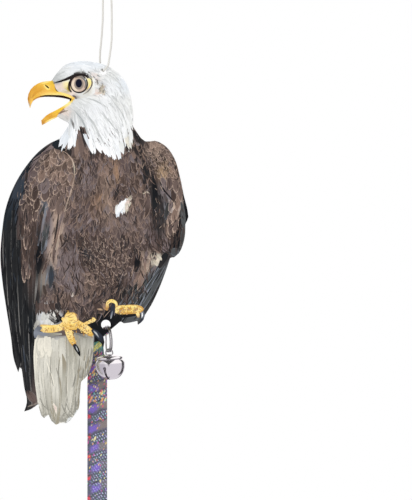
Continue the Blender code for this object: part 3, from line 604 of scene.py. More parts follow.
BODY_AIR = Airbrush("bark", [
    # the left wing's outer band and its long feathers
    (56, 143, 7, 4, "ink", 1.6), (44, 150, 7, 5, "ink", 1.6), (33, 161, 6, 6, "ink", 1.4), (22, 175, 6, 12, "ink"),
    (24, 190, 4, 12, "slate", 0.8), (13, 195, 6, 13, "ink", 1.4), (8, 220, 7, 18, "ink", 1.5), (5, 255, 8, 18, "coal", 1.6),
    (9, 290, 11, 22, "coal", 2.0), (17, 330, 14, 22, "coal", 2.0), (28, 372, 10, 24, "coal", 2.0),
    (31, 397, 4, 7, "bark", 1.6), (34, 167, 4, 8, "mauve", 1.2), (36, 300, 6, 16, "char", 1.4),
    (50, 146, 4, 3, "mauve"), (63, 146, 4, 5, "ink", 1.3),
    # its coverts
    (52, 158, 12, 7, "hazel"), (52, 176, 14, 9, "hazel"), (62, 166, 8, 9, "tan", 0.5), (68, 176, 5, 14, "hazel"),
    (44, 186, 8, 6, "lilac", 0.7), (56, 191, 8, 8, "bark"), (60, 206, 7, 10, "brown"), (36, 200, 7, 16, "bark", 1.2),
    (27, 225, 6, 18, "bark", 1.4), (26, 262, 6, 20, "bark", 1.5), (33, 180, 5, 12, "plum"), (28, 205, 4, 20, "umber"),
    (44, 215, 3, 10, "mist", 1.2), (47, 232, 5, 12, "lilac", 1.3), (59, 222, 4, 12, "sand", 1.3),
    (54, 250, 4, 16, "sand", 1.0), (39, 258, 3, 12, "black", 1.8), (33, 240, 3, 20, "umber"),
    (52, 277, 4, 12, "steel", 1.5), (44, 285, 4, 10, "taupe"), (48, 296, 8, 6, "umber"), (17, 262, 4, 25, "umber", 0.8),
    # the neck's lower edge, the back and the breast
    (78, 142, 6, 8, "brown", 1.2), (68, 152, 5, 5, "char"), (85, 152, 6, 8, "hazel"), (93, 148, 5, 6, "char"),
    (80, 170, 6, 14, "umber", 1.2), (95, 165, 9, 10, "plum"), (89, 184, 7, 10, "mauve"), (105, 170, 6, 12, "hazel", 1.2),
    (98, 188, 7, 8, "umber"), (108, 186, 5, 10, "tan", 0.8), (117, 171, 3.5, 10, "rust", 1.6), (113, 192, 5, 8, "hazel"),
    (125, 165, 7, 8, "plum"), (134, 172, 6, 12, "umber", 1.1), (139, 182, 4, 6, "hazel", 0.8), (145, 170, 6, 16, "char", 1.1),
    (136, 150, 8, 6, "char", 1.3), (141, 140, 5, 6, "ink", 1.4), (120, 190, 5, 8, "umber"),
    (82, 205, 9, 10, "bark"), (98, 206, 7, 10, "rust", 0.6), (107, 212, 6, 10, "tan", 0.6), (75, 225, 9, 10, "plum"),
    (92, 226, 10, 10, "plum"), (112, 226, 9, 9, "brown"), (133, 206, 7, 9, "brown"), (147, 205, 5, 9, "bark"),
    (134, 228, 8, 8, "brown"), (148, 228, 6, 10, "mauve", 0.9), (124, 224, 6, 6, "lilac", 0.7), (153, 236, 4, 8, "plum"),
    (82, 246, 9, 7, "char", 0.9), (100, 243, 10, 6, "bark"), (124, 243, 9, 6, "bark"), (90, 253, 6, 4, "steel", 0.7),
    (67, 270, 7, 16, "mauve", 2.0), (74, 284, 6, 8, "lilac", 1.4), (95, 262, 12, 8, "umber"), (108, 270, 12, 10, "bark"),
    (90, 280, 10, 6, "hazel", 0.8), (105, 287, 10, 8, "umber"), (125, 262, 7, 10, "bark"), (130, 275, 6, 10, "plum"),
    (136, 262, 4, 9, "char", 1.3), (121, 288, 5, 12, "coal", 1.4), (75, 300, 14, 6, "brown"), (85, 309, 14, 5, "plum"),
    (58, 300, 10, 5, "hazel"), (98, 303, 9, 8, "umber"), (104, 295, 6, 6, "brown"),
    # the right wing
    (157, 150, 8, 7, "tan", 0.9), (167, 155, 8, 9, "brown"), (175, 170, 6, 10, "hazel"), (164, 171, 5, 8, "gilt", 1.1),
    (156, 172, 3, 12, "umber", 1.2), (176, 186, 5, 7, "brown"), (165, 190, 4, 8, "lilac", 1.5), (154, 205, 4, 18, "coal", 1.8),
    (161, 215, 5, 16, "char", 1.5), (175, 205, 5, 5, "blush", 1.2), (176, 203, 4, 5, "sand", 1.3), (169, 210, 4, 6, "mist", 1.1),
    (172, 225, 5, 10, "hazel", 1.3), (186, 208, 2.5, 11, "black", 2.2), (182, 224, 2.2, 15, "lead", 2.0),
    (177, 241, 5, 9, "black", 2.0), (175, 252, 5, 4, "lead", 2.0), (156, 247, 6, 5, "bark", 1.2), (165, 245, 5, 5, "mauve"),
    (157, 260, 5, 4, "cream", 2.0), (146, 264, 2.5, 9, "sand", 1.6), (165, 257, 4, 4, "char", 1.4), (140, 281, 4, 8, "hazel", 1.4),
    (157, 280, 9, 14, "lead", 2.0), (146, 297, 10, 10, "lead", 2.0), (133, 299, 8, 6, "lead", 1.5), (156, 300, 3, 8, "pewter", 2.0),
    (130, 318, 12, 4, "lead", 2.0), (124, 296, 5, 8, "char", 1.3),
    # under the body
    (106, 325, 12, 12, "black", 3.0), (98, 312, 8, 5, "umber"), (48, 316, 8, 7, "white", 2.5), (57, 319, 2.5, 5, "char", 1.6),
    (62, 309, 5, 4, "umber"), (128, 314, 12, 2.5, "black", 2.0),
])

TAIL_AIR = Airbrush("pearl", [
    (36, 360, 2.5, 22, "ivory", 1.6), (42, 380, 4, 25, "pearl"), (47, 349, 6, 7, "ivory", 1.8), (52, 375, 4, 16, "ash"),
    (58, 358, 4, 14, "pearl"), (64, 368, 2.5, 12, "fawn", 1.3), (60, 395, 4, 18, "linen", 0.9), (72, 365, 5, 22, "linen", 0.9),
    (86, 355, 5, 16, "ash", 1.2), (88, 343, 6, 4, "shade", 1.3), (70, 342, 8, 4, "fawn"), (76, 395, 5, 20, "ash", 1.2),
    (56, 407, 3, 6, "blush", 1.3), (55, 418, 6, 6, "linen", 1.2), (66, 416, 5, 6, "ash"), (43, 410, 4, 8, "ash"),
    (50, 334, 12, 4, "smoke", 2.0), (80, 333, 8, 3, "smoke", 1.4), (66, 330, 6, 4, "shade"),
])

HEAD_EDGE = [(50, 60), (135, 60), (136, 128), (133, 150), (116, 159), (104, 153), (96, 153), (88, 149), (84, 130),
             (79, 130), (72, 148), (61, 150), (58, 140), (68, 124), (56, 118), (72, 101), (76, 96), (60, 94),
             (52, 90), (51, 81)]
BEAK_EDGE = [(26, 80), (51.5, 80), (54, 84), (55, 91), (60, 93.5), (70, 96.5), (75, 99), (72, 102), (60, 112),
             (56, 118), (40, 127), (26, 110)]
TAIL_EDGE = [(34, 332), (60, 336), (93.5, 334), (94, 352), (91, 372), (81, 384), (79, 414), (60, 428), (42, 420),
             (37, 400), (33, 380), (32.5, 345)]


def air_at(x, y):
    """The airbrush whose part of the bird this is."""
    if y < 160 and inside(BEAK_EDGE, x, y):
        return BEAK_AIR
    if y < 160 and inside(HEAD_EDGE, x, y):
        return HEAD_AIR
    if y > 330 and inside(TAIL_EDGE, x, y):
        return TAIL_AIR
    return BODY_AIR


def print_ground(material):
    """The soft tints under everything else, over the whole board."""
    ground = Print("ground_print", BODY_AIR, seed=3)
    columns, rows = 150, 290
    for vert in ground.grid(columns, rows):
        x = 94.4 + vert.co.x * 95.2
        y = 243.2 + vert.co.y * 182.8
        colour = air_at(x, y).at(x, y)
        barbs = 0.12 if y < 128 or y > 345 else 0.5
        ground.put(vert, spot(x, y, 0.02), colour, colour, 0.0, ((x % 7) / 3.5 - 1, 0.3, 0.37), (3.5, 10.0, barbs))
    ground.finish(material)


def print_head(material):
    crown = Print("crown_print", HEAD_AIR, seed=11)
    flow = [(54, 78, -35), (62, 70, -22), (80, 64, 2), (100, 66, 18), (117, 76, 42), (128, 92, 72), (131, 115, 84),
            (70, 74, -14), (90, 72, 12), (100, 82, 28), (112, 95, 45), (84, 100, 24), (95, 110, 38), (80, 112, 42),
            (75, 104, 30), (66, 114, 38), (62, 118, 30), (74, 120, 68), (118, 118, 58), (105, 130, 54)]
    crown.tract([(50, 80), (57, 72), (67, 63), (92, 60), (118, 71), (133, 97), (134, 118), (112, 122), (92, 118),
                 (72, 124), (56, 117), (66, 106), (76, 102), (80, 97), (92, 92), (93, 78), (86, 73), (74, 74),
                 (60, 80), (54, 83)],
                (2.7, 4.0), 10.0, 1.0, flow, None, 0.2, 0.12, 0.16, shade=0.05, turn=8, bend=0.12, tip=0.25,
                stray=(("dove", "snow", "ash"), 0.22))
    crown.finish(material)
    nape = Print("hackle_print", HEAD_AIR, seed=12)
    flow = [(64, 140, 118), (68, 128, 110), (73, 132, 98), (76, 120, 84), (82, 122, 62), (92, 120, 56), (110, 118, 58),
            (130, 120, 80), (95, 140, 66), (110, 140, 62), (122, 142, 74), (130, 138, 84), (86, 138, 70)]
    for edge, level in (([(70, 118), (62, 138), (66, 142), (73, 139), (77, 128), (81, 122), (80, 116)], 0.26),
                        ([(82, 116), (84, 128), (89, 139), (96, 144), (104, 146), (116, 149), (124, 142), (131, 130),
                          (134, 116), (112, 112), (95, 112)], 0.27)):
        nape.tract(edge, (2.3, 4.4), 14.0, 0.95, flow, None, 0.2, 0.14, level, shade=0.06, turn=8, bend=0.12, tip=0.1,
                   stray=(("snow", "snow", "dove", "ash"), 0.3))
    for root, heading, length, half, tint in (
            ((68, 136), 112, 16, 2.0, "frost"), ((71, 138), 100, 12, 1.7, "white"), ((66, 134), 118, 15, 2.0, "frost"),
            ((75, 130), 92, 17, 2.0, "white"), ((73, 136), 98, 12, 1.5, "snow"), ((85, 134), 72, 16, 1.8, "frost"),
            ((89, 140), 66, 15, 2.2, "snow"), ((96, 142), 62, 13, 2.6, "snow"), ((103, 145), 62, 12, 2.6, "snow"),
            ((110, 147), 66, 13, 2.8, "snow"), ((116, 145), 76, 15, 2.6, "white"), ((121, 142), 80, 13, 2.2, "pearl"),
            ((126, 138), 72, 13, 1.8, "shell"), ((129, 134), 78, 13, 1.7, "chalk"), ((131, 131), 84, 12, 1.4, "pearl"),
            ((113, 149), 84, 11, 2.4, "snow"), ((107, 149), 58, 9, 2.2, "white"), ((93, 143), 78, 12, 1.6, "white")):
        nape.tuft(*root, heading, length, half, tint, "snow", 0.3, 0.14, 0.31, count=5 if half > 1.9 else 4)
    for points in (
            [(86, 98, 0.2, "ash"), (96, 101, 0.7, "dove"), (108, 108, 0.3, "ash")],
            [(84, 112, 0.3, "dove"), (92, 121, 0.8, "dove"), (99, 132, 0.3, "ash")],
            [(80, 116, 0.3, "dove"), (84, 124, 0.8, "shade"), (88, 134, 0.3, "dove")],
            [(74, 110, 0.2, "dove"), (79, 116, 0.6, "shade"), (84, 121, 0.3, "dove")],
            [(100, 112, 0.2, "ash"), (110, 122, 0.7, "dove"), (117, 133, 0.3, "ash")],
            [(112, 100, 0.2, "ash"), (121, 112, 0.6, "dove"), (127, 125, 0.3, "ash")],
            [(94, 126, 0.3, "ash"), (100, 136, 0.8, "dove"), (105, 146, 0.3, "ash")],
            [(71, 119, 0.5, "shade"), (73, 124, 1.2, "smoke"), (74, 129, 0.4, "shade")],
            [(104, 72, 0.2, "ash"), (116, 80, 0.6, "ash"), (124, 90, 0.2, "ash")]):
        nape.band(points, 0.36, barbs=0.1, step=2.2, columns=3)
    nape.wisps([(82, 104), (100, 94), (124, 96), (132, 116), (130, 140), (112, 148), (92, 140), (84, 126)], 240,
               ("ash", "snow", "white", "snow", "ash", "pearl"), 0.2, 8.0, flow, 8, 0.37, barbs=0.1, bend=0.12)
    nape.wisps([(62, 70), (90, 62), (118, 72), (130, 100), (110, 104), (96, 84), (80, 72), (60, 80)], 150,
               ("dove", "snow", "pearl"), 0.18, 6.0, flow, 10, 0.25, barbs=0.1, bend=0.12)
    nape.finish(material)


def print_face(material):
    face = Print("face_print", FACE_AIR, seed=21)
    face.panel([(51, 82), (58, 83), (66, 79.5), (74, 76), (86, 74.5), (95, 79)],
               [(55, 91.5), (61, 93.5), (70, 96.5), (76, 98.5), (86, 97), (95, 93)], 0.28, 44, 22, barbs=0.14)
    face.band([(52, 82.5, 0.8, "smoke"), (57, 82.4, 1.2, "shade"), (62, 81.2, 0.8, "smoke")], 0.3, barbs=0.2)
    for x, y, heading in ((81, 73.4, 20), (84, 72.4, 35), (87, 73.6, 40), (90, 75.4, 50), (82, 71.6, 10),
                          (86, 75.2, 60), (91, 78.2, 62), (88, 71.8, 30), (78, 72.6, 0), (93, 76.2, 40), (97, 75, 30)):
        face.feather(x, y, heading, 4.0, 0.6, (INK["smoke"], INK["dove"]), INK["pearl"], 0.3, 0.3, 0.31, tip=0.3,
                     columns=2, rows=4)
    face.band([(74, 74.4, 1.4, "char"), (80, 73.2, 1.6, "smoke"), (86, 74.6, 1.5, "char"), (90.6, 78.6, 0.8, "smoke")],
              0.33, rim="dove", rim_strength=0.7, barbs=0.6)
    face.band([(53.5, 83.4, 0.3, "smoke"), (58, 82, 0.7, "char"), (64, 80.2, 1.0, "brow"), (70, 77.8, 1.5, "brow"),
               (75, 75.6, 1.6, "brow"), (80, 74.6, 1.3, "brow"), (85, 75.6, 1.0, "brow"), (88.4, 78, 0.7, "char")],
              0.45, rim="char", rim_strength=0.6, barbs=0.3)
    face.band([(89.6, 76.6, 0.4, "umber"), (92.0, 81, 0.6, "umber"), (91.6, 86, 0.6, "bark"), (88.2, 91.2, 0.5, "smoke"),
               (83, 94.6, 0.4, "fawn")], 0.33)
    face.band([(88.6, 77.4, 0.3, "straw"), (90.2, 81, 0.8, "straw"), (89.4, 86, 0.7, "butter"), (87, 89.6, 0.3, "olive")],
              0.34)
    face.wisps([(100, 83), (105, 83), (107, 88), (106, 94), (102, 94), (99, 89)], 34, ("fawn", "linen", "blush", "linen", "taupe"),
               0.36, 3.4, [(103, 88, 105)], 24, 0.45)
    face.wisps([(93, 76), (99, 79), (98, 84), (94, 82)], 22, ("fawn", "smoke", "linen"), 0.25, 3.0, [(95, 80, 60)], 24, 0.45)
    face.band([(68.8, 84.4, 0.6, "straw"), (68.2, 88, 1.2, "olive"), (70, 91.6, 0.7, "olive")], 0.34, barbs=0.3)
    face.band([(71.5, 78.5, 0.6, "gape"), (69.4, 83.5, 1.0, "gape"), (69.4, 89, 1.0, "umber"), (71.5, 92.3, 0.5, "char")],
              0.37)
    face.band([(57, 90, 0.4, "linen"), (62, 89, 1.0, "blush"), (67, 91, 0.6, "linen")], 0.3)
    face.band([(72.6, 95.4, 0.4, "smoke"), (75, 97, 1.2, "plum"), (76.6, 99, 0.5, "smoke")], 0.32)
    face.band([(103, 84.5, 0.5, "linen"), (102.5, 88, 1.6, "fawn"), (103.5, 92, 1.2, "smoke"), (105, 95.5, 0.4, "dove")],
              0.26, rim="ash", rim_strength=0.7, barbs=0.3)
    face.band([(92, 94, 0.5, "pearl"), (97, 93.4, 1.3, "blush"), (103, 93, 0.6, "linen")], 0.26, barbs=0.2)
    face.band([(57, 114.5, 0.5, "tan"), (62, 112, 0.9, "hazel"), (68, 110.6, 0.5, "fawn")], 0.28, barbs=0.3)
    face.band([(60, 110, 0.5, "blush"), (66, 107, 1.3, "blush"), (71, 104, 0.8, "cream")], 0.27)
    face.finish(material)


def print_eye(material):
    eye = Print("eye_print", FACE_AIR, seed=22)
    eye.disc(79.1, 84.0, [(0.02, 0.02, "brow"), (8.4, 8.8, "brow"), (9.0, 9.3, "char")], 0.4)
    eye.disc(79.0, 84.1, [(0.02, 0.02, "taupe"), (4.2, 5.0, "taupe"), (5.4, 6.0, "iris"), (7.2, 7.4, "iris"),
                          (7.7, 7.9, "hazel")], 0.42, barbs=0.2)
    eye.band([(75.5, 78.8, 0.5, "iris"), (73.2, 82.2, 1.1, "iris_pale"), (73.0, 86.4, 1.3, "iris_pale"),
              (75.6, 90.0, 1.1, "iris_pale"), (79.8, 91.3, 0.5, "iris")], 0.44)
    eye.band([(75, 77.6, 0.8, "hazel"), (80, 76.6, 1.3, "taupe"), (84.5, 79.4, 1.2, "smoke"), (86.0, 83.5, 1.0, "smoke"),
              (84.8, 88, 0.6, "taupe")], 0.44)
    eye.disc(78.9, 83.4, [(0.02, 0.02, "pupil"), (2.7, 3.7, "pupil"), (3.2, 4.2, "navy")], 0.47, sides=28)
    eye.disc(85.6, 79.4, [(0.02, 0.02, "dove"), (0.5, 0.8, "dove"), (0.8, 1.2, "smoke")], 0.49, sides=14)
    eye.finish(material)


def print_beak(material):
    beak = Print("beak_print", BEAK_AIR, seed=23)
    beak.panel([(27, 108), (26, 98), (30, 89), (37, 83), (45, 80.8), (52.5, 80.5)],
               [(31, 108.5), (33, 101), (38, 98), (44, 96.6), (50, 96.7), (57, 97.3)], 0.3, 56, 26, 0.1)
    beak.panel([(52.5, 80.5), (54.5, 84), (55, 88), (56.5, 91)], [(44, 96.8), (52, 97), (62, 98), (72, 100.5)],
               0.31, 30, 16, 0.1)
    beak.panel([(73, 99), (66, 102.5), (57, 108), (48, 113), (40, 121), (40, 127)],
               [(73, 101.5), (68, 106), (61, 111), (56, 117.5), (49, 122), (42, 127)], 0.3, 48, 12, 0.06)
    beak.band([(54, 91.6, 0.5, "yolk"), (62, 93.8, 1.3, "butter"), (69, 96.4, 1.6, "butter"), (74.6, 99, 1.0, "honey")],
              0.34, rim="gold", rim_strength=0.6)
    beak.band([(33, 100, 0.5, "amber"), (40, 97, 0.9, "amber"), (50, 96.2, 0.6, "honey")], 0.34)
    beak.band([(40, 96.6, 0.3, "gape"), (46, 96.1, 1.0, "gape"), (54, 96.6, 1.5, "gape"), (63, 97.6, 1.9, "gape"),
               (71.4, 99.8, 1.3, "gape")], 0.36)
    beak.band([(51.5, 81.5, 0.7, "yolk"), (46, 82.4, 0.9, "butter"), (39, 84.6, 0.8, "gold"), (33, 89.4, 0.5, "orange")],
              0.33)
    beak.band([(44, 84.6, 0.7, "butter"), (48.2, 88.4, 1.9, "butter"), (51, 90, 0.6, "yolk")], 0.33, rim="yolk",
              rim_strength=0.7)
    beak.band([(44.8, 84.8, 0.45, "olive"), (46.8, 86.4, 0.75, "gape"), (49.0, 88.2, 0.5, "gape")], 0.37)
    beak.band([(42, 90, 0.6, "orange"), (36, 92.6, 1.6, "orange"), (31.6, 98, 1.0, "amber")], 0.33, rim="gold",
              rim_strength=0.8)
    beak.band([(28.6, 97, 0.5, "amber"), (28.6, 101, 0.7, "amber"), (30, 106, 0.6, "fawn")], 0.34)
    beak.band([(57, 117, 0.5, "honey"), (51, 119.6, 0.8, "straw"), (45, 122.6, 0.5, "honey")], 0.33)
    beak.band([(58, 113.4, 0.3, "amber"), (60.5, 112.6, 0.5, "hazel"), (64, 108.4, 0.3, "amber")], 0.34)
    beak.finish(material)


def lay_bands(area, bands):
    """Rows of (level, rim ink or None, rim strength, barbs, points)."""
    for level, rim, strength, barbs, points in bands:
        area.band(points, level, rim=rim, rim_strength=strength, barbs=barbs)


def print_body(material):
    body = Print("body_print", BODY_AIR, seed=31)
    flow = [(70, 150, 78), (85, 150, 86), (100, 165, 92), (125, 160, 84), (145, 160, 72), (85, 190, 98), (110, 190, 96),
            (135, 190, 84), (150, 190, 88), (75, 225, 104), (100, 225, 96), (125, 225, 82), (148, 225, 92),
            (70, 260, 92), (95, 255, 68), (115, 255, 96), (130, 262, 106), (148, 262, 92), (85, 272, 60), (105, 272, 76),
            (75, 295, 70), (95, 292, 96), (115, 290, 112), (135, 285, 104), (60, 305, 100), (90, 308, 92)]
    upper = [(60, 148), (70, 136), (84, 126), (92, 138), (134, 124), (147, 139), (152, 150), (150, 200), (150, 236),
             (64, 236), (70, 200), (76, 172), (70, 153)]
    body.tract(upper, (4.2, 5.2), 10.5, 2.4, flow, "tan", 0.36, 0.75, 0.06, shade=0.26, turn=26, bend=0.25,
               stray=(("umber", "hazel", "mauve", "char", "plum", "lilac"), 0.45), deep=0.72)
    lower = [(60, 232), (152, 232), (158, 252), (146, 276), (146, 290), (122, 310), (96, 318), (60, 312), (40, 306),
             (44, 290), (58, 262)]
    body.tract(lower, (4.8, 4.8), 9.5, 2.6, flow, "tan", 0.42, 0.75, 0.08, shade=0.28, turn=30, bend=0.3,
               stray=(("umber", "char", "plum", "hazel"), 0.42), deep=0.64)
    body.tract([(84, 238), (132, 236), (134, 270), (112, 286), (84, 282), (80, 262)], (5.4, 4.6), 8.5, 2.5,
               [(84, 260, 40), (100, 250, 70), (105, 270, 40), (125, 262, 70), (90, 280, 60)], "sand", 0.6, 0.7, 0.1,
               shade=0.28, turn=26, bend=0.35, stray=(("umber", "char", "bark"), 0.5), deep=0.6)
    body.tract([(60, 250), (78, 246), (83, 262), (84, 280), (76, 292), (64, 284), (58, 264)], (2.6, 4.0), 9.0, 1.2,
               [(62, 256, 100), (70, 262, 76), (80, 262, 96), (66, 280, 70), (78, 284, 100)], "lilac", 0.3, 0.5, 0.15,
               shade=0.16, turn=16, bend=0.25, tip=0.2, stray=(("mauve", "plum", "lilac"), 0.6), deep=0.8)
    body.wisps(upper, 400, ("hazel", "mauve", "tan", "lilac", "bark", "hazel"), 0.3, 7.5, flow, 26, 0.16)
    body.wisps(upper, 240, ("umber", "char", "umber"), 0.42, 8.0, flow, 20, 0.15)
    body.wisps(lower, 300, ("hazel", "mauve", "tan", "plum", "lilac", "bark"), 0.28, 7.5, flow, 36, 0.2, bend=0.5)
    body.wisps(lower, 420, ("umber", "char", "umber"), 0.62, 8.5, flow, 22, 0.195)
    lay_bands(body, (
        (0.17, None, 0.0, 0.3, [(79, 249, 0.3, "char"), (83, 250.4, 0.6, "black"), (86, 251, 0.2, "char")]),
        (0.17, None, 0.0, 0.3, [(79, 252.4, 0.3, "char"), (83, 253.6, 0.6, "black"), (87, 254, 0.2, "char")]),
        (0.17, None, 0.0, 0.3, [(80, 256, 0.3, "char"), (84, 257, 0.6, "black"), (88, 257, 0.2, "char")]),
        (0.12, "gilt", 0.4, 0.8, [(114.6, 160, 0.4, "hazel"), (116.5, 167, 1.2, "rust"), (117.4, 176, 1.3, "rust"),
                                  (118, 184, 0.5, "hazel")]),
        (0.12, "gilt", 0.4, 0.8, [(97, 204, 0.5, "hazel"), (100, 198, 1.1, "rust"), (104, 191, 0.5, "hazel")]),
        (0.12, "lilac", 0.4, 0.8, [(88.6, 176, 0.6, "mauve"), (89.4, 183, 1.6, "mauve"), (91, 191, 0.7, "plum")]),
        (0.13, "black", 0.3, 0.4, [(144, 158, 1.5, "char"), (146, 170, 3.0, "coal"), (144, 184, 1.4, "char")]),
        (0.13, None, 0.3, 0.4, [(118, 184, 1.0, "umber"), (117, 192, 2.0, "char"), (114, 200, 0.6, "umber")]),
                (0.13, "tan", 0.7, 0.5, [(146, 192, 1.0, "umber"), (147.5, 202, 3.0, "bark"), (147, 212, 2.4, "umber"),
                                 (144, 219, 0.8, "umber")]),
        (0.14, "mauve", 0.4, 0.3, [(143, 194, 0.3, "fawn"), (147, 192, 0.8, "fawn"), (150, 194, 0.2, "mauve")]),
        (0.14, "snow", 0.5, 0.2, [(75, 288, 0.3, "fawn"), (74, 292, 1.4, "linen"), (72, 297, 0.5, "tan")]),
        (0.13, "black", 0.3, 0.5, [(139, 254, 1.2, "char"), (137, 262, 3.0, "black"), (136, 272, 1.2, "char")])))
    for root, heading, length, half, tint in (
            ((131, 198), 128, 10, 1.6, "blush"), ((127, 199), 122, 11, 1.9, "snow"), ((124, 201), 114, 11, 2.0, "snow"),
            ((129, 203), 114, 9, 1.5, "blush"), ((120, 205), 104, 10, 2.0, "snow"), ((123, 207), 98, 8, 1.6, "frost"),
            ((118, 208), 90, 9, 1.6, "frost"),
            ((121, 203), 112, 12, 1.6, "white"), ((117, 205), 96, 9, 1.4, "pearl"), ((130, 201), 120, 10, 1.6, "linen"),
            ((126, 204), 106, 11, 1.4, "pearl"), ((127, 206), 90, 7, 1.2, "fawn"), ((132, 197), 140, 6, 0.9, "fawn")):
        body.tuft(*root, heading, length, half, tint, "pearl", 0.2, 0.3, 0.17, count=5)
    # black gaps that show between the white tips of the neck
    for root, heading, length, half, tint in (
            ((81, 128), 76, 20, 1.8, "char"), ((82, 136), 92, 22, 3.0, "brown"), ((78, 138), 96, 20, 3.0, "hazel"),
            ((76, 142), 100, 16, 2.2, "bark"), ((92, 144), 86, 15, 2.0, "char"), ((98, 147), 94, 13, 1.8, "umber"),
            ((103, 150), 96, 11, 1.4, "umber"), ((124, 142), 60, 10, 0.9, "char"), ((131, 130), 62, 16, 1.1, "char"),
            ((134, 130), 66, 18, 1.6, "coal"), ((129, 143), 56, 10, 0.9, "char"), ((63, 147), 62, 9, 1.6, "coal"),
            ((68, 149), 74, 10, 2.0, "char"), ((117, 150), 84, 9, 1.0, "char")):
        body.tuft(*root, heading, length, half, tint, "bark", 0.3, 0.5, 0.19)
    body.finish(material)


def print_left_wing(material):
    quills = Print("left_quills_print", BODY_AIR, seed=41)
    lay_bands(quills, [(0.05 + 0.012 * i, rim, 0.5, 0.5, points) for i, (rim, points) in enumerate((
        ("pewter", [(40, 148, 2, "ink"), (26, 164, 3, "ink"), (14, 188, 3.4, "ink"), (6, 215, 3.4, "ink"),
                    (2.5, 250, 2.5, "coal"), (4, 285, 1, "coal")]),
        ("pewter", [(46, 150, 2, "ink"), (30, 166, 3.5, "ink"), (18, 190, 4, "slate"), (11, 218, 4, "ink"),
                    (7, 250, 4, "coal"), (7, 290, 3, "coal"), (10, 325, 2, "coal")]),
        ("pewter", [(3.5, 232, 2, "coal"), (4, 275, 3, "coal"), (7.5, 305, 3, "coal"), (12, 338, 3, "black"),
                    (15, 358, 2.6, "coal"), (18.2, 372, 0.6, "black")]),
        ("pewter", [(9, 220, 2, "coal"), (9, 260, 3.2, "coal"), (11, 300, 3.2, "coal"), (15, 335, 3, "coal"),
                    (19, 366, 1, "black")]),
        ("smoke", [(14, 210, 2, "coal"), (14, 250, 3.2, "coal"), (16, 290, 3.4, "coal"), (19.5, 330, 3, "coal"),
                   (22.4, 362, 2.5, "black"), (24.5, 388, 1, "black")]),
        ("pewter", [(19, 240, 2, "coal"), (20, 285, 3, "coal"), (22, 325, 3, "coal"), (25, 362, 2.6, "coal"),
                    (27.5, 398, 2, "coal"), (25, 411, 1, "black")]),
        ("pewter", [(25, 270, 2, "char"), (25.5, 310, 3, "coal"), (27, 345, 3, "coal"), (29.5, 382, 3, "coal"),
                    (31, 404, 2.4, "char"), (28, 410, 1, "coal")]),
        ("smoke", [(31, 275, 2, "umber"), (30.5, 312, 2.6, "coal"), (31, 345, 2.4, "black"), (32, 378, 2.4, "coal"),
                   (35, 402, 2.6, "bark"), (37.5, 403.6, 1.0, "char")]),
        ("pewter", [(37, 290, 1.5, "char"), (36, 315, 2.4, "coal"), (33.5, 345, 2, "coal"), (33, 375, 1.5, "char"),
                    (36, 398, 1, "bark")])))])
    for shift, points in enumerate((
            [(6, 255), (8, 300), (13, 345)], [(12, 262), (14, 305), (18, 350)], [(17, 270), (19, 315), (23, 370)],
            [(22, 300), (24, 340), (27, 385)], [(28, 300), (29, 340), (31, 380)], [(33, 305), (33, 330), (32, 352)],
            [(37, 300), (36.5, 314), (35.5, 330)], [(39, 292), (39, 303), (38, 316)], [(4, 225), (3, 250), (4.5, 275)])):
        quills.band([(*points[0], 0.12, "pewter"), (*points[1], 0.4, "pewter" if shift % 2 else "smoke"),
                     (*points[2], 0.12, "pewter")], 0.17, barbs=0.4, columns=2, step=6)
    lay_bands(quills, (
        (0.18, "smoke", 0.5, 0.6, [(27, 391, 1.5, "umber"), (31, 396, 4.0, "bark"), (34, 401, 3.6, "bark"),
                                   (33, 405, 1.6, "umber")]),
        (0.19, "taupe", 0.5, 0.4, [(28, 406.5, 0.4, "taupe"), (33, 404.8, 0.7, "taupe"), (37.6, 403, 0.3, "taupe")]),
        (0.19, None, 0, 0.3, [(23, 345, 0.2, "steel"), (24.6, 358, 0.8, "slate"), (26, 372, 0.2, "steel")]),
        (0.18, None, 0, 0.2, [(19, 352, 0.4, "black"), (20.4, 359, 0.9, "black"), (19.6, 366, 0.3, "black")]),
        (0.18, "slate", 0.5, 0.3, [(22, 176, 0.3, "slate"), (19.5, 190, 1.2, "slate"), (18.5, 206, 0.4, "slate")]),
        (0.18, "steel", 0.5, 0.3, [(26, 170, 0.4, "plum"), (23, 182, 1.4, "slate"), (22, 200, 0.5, "slate")]),
        (0.18, "steel", 0.5, 0.3, [(18, 204, 0.3, "slate"), (16, 214, 1.0, "slate"), (16, 226, 0.3, "slate")]),
        (0.18, "mauve", 0.6, 0.3, [(42, 154, 0.8, "plum"), (35, 161, 2.2, "mauve"), (31, 170, 2.2, "plum"),
                                   (28, 182, 0.8, "plum")]),
        (0.18, "lilac", 0.5, 0.3, [(56, 147, 0.6, "mauve"), (50, 147.5, 1.8, "mauve"), (43, 152, 0.8, "plum")]),
        (0.18, None, 0.0, 0.3, [(60, 141, 2.0, "ink"), (55, 145, 3.0, "ink"), (62, 149, 1.6, "coal")])))
    outer = [(52, 143), (40, 149), (24, 164), (10, 192), (4, 220), (1, 255), (3, 290), (18, 370), (26, 400), (36, 300),
             (24, 250), (22, 200), (34, 170)]
    along = [(46, 150, 140), (26, 168, 122), (12, 200, 106), (5, 250, 92), (8, 300, 86), (20, 360, 78), (30, 300, 88)]
    quills.wisps(outer, 200, ("pewter", "slate", "lead"), 0.2, 9.0, along, 12, 0.2, bend=0.12)
    quills.wisps(outer, 280, ("black", "black", "coal"), 0.42, 12.0, along, 6, 0.19, bend=0.06)
    quills.finish(material)

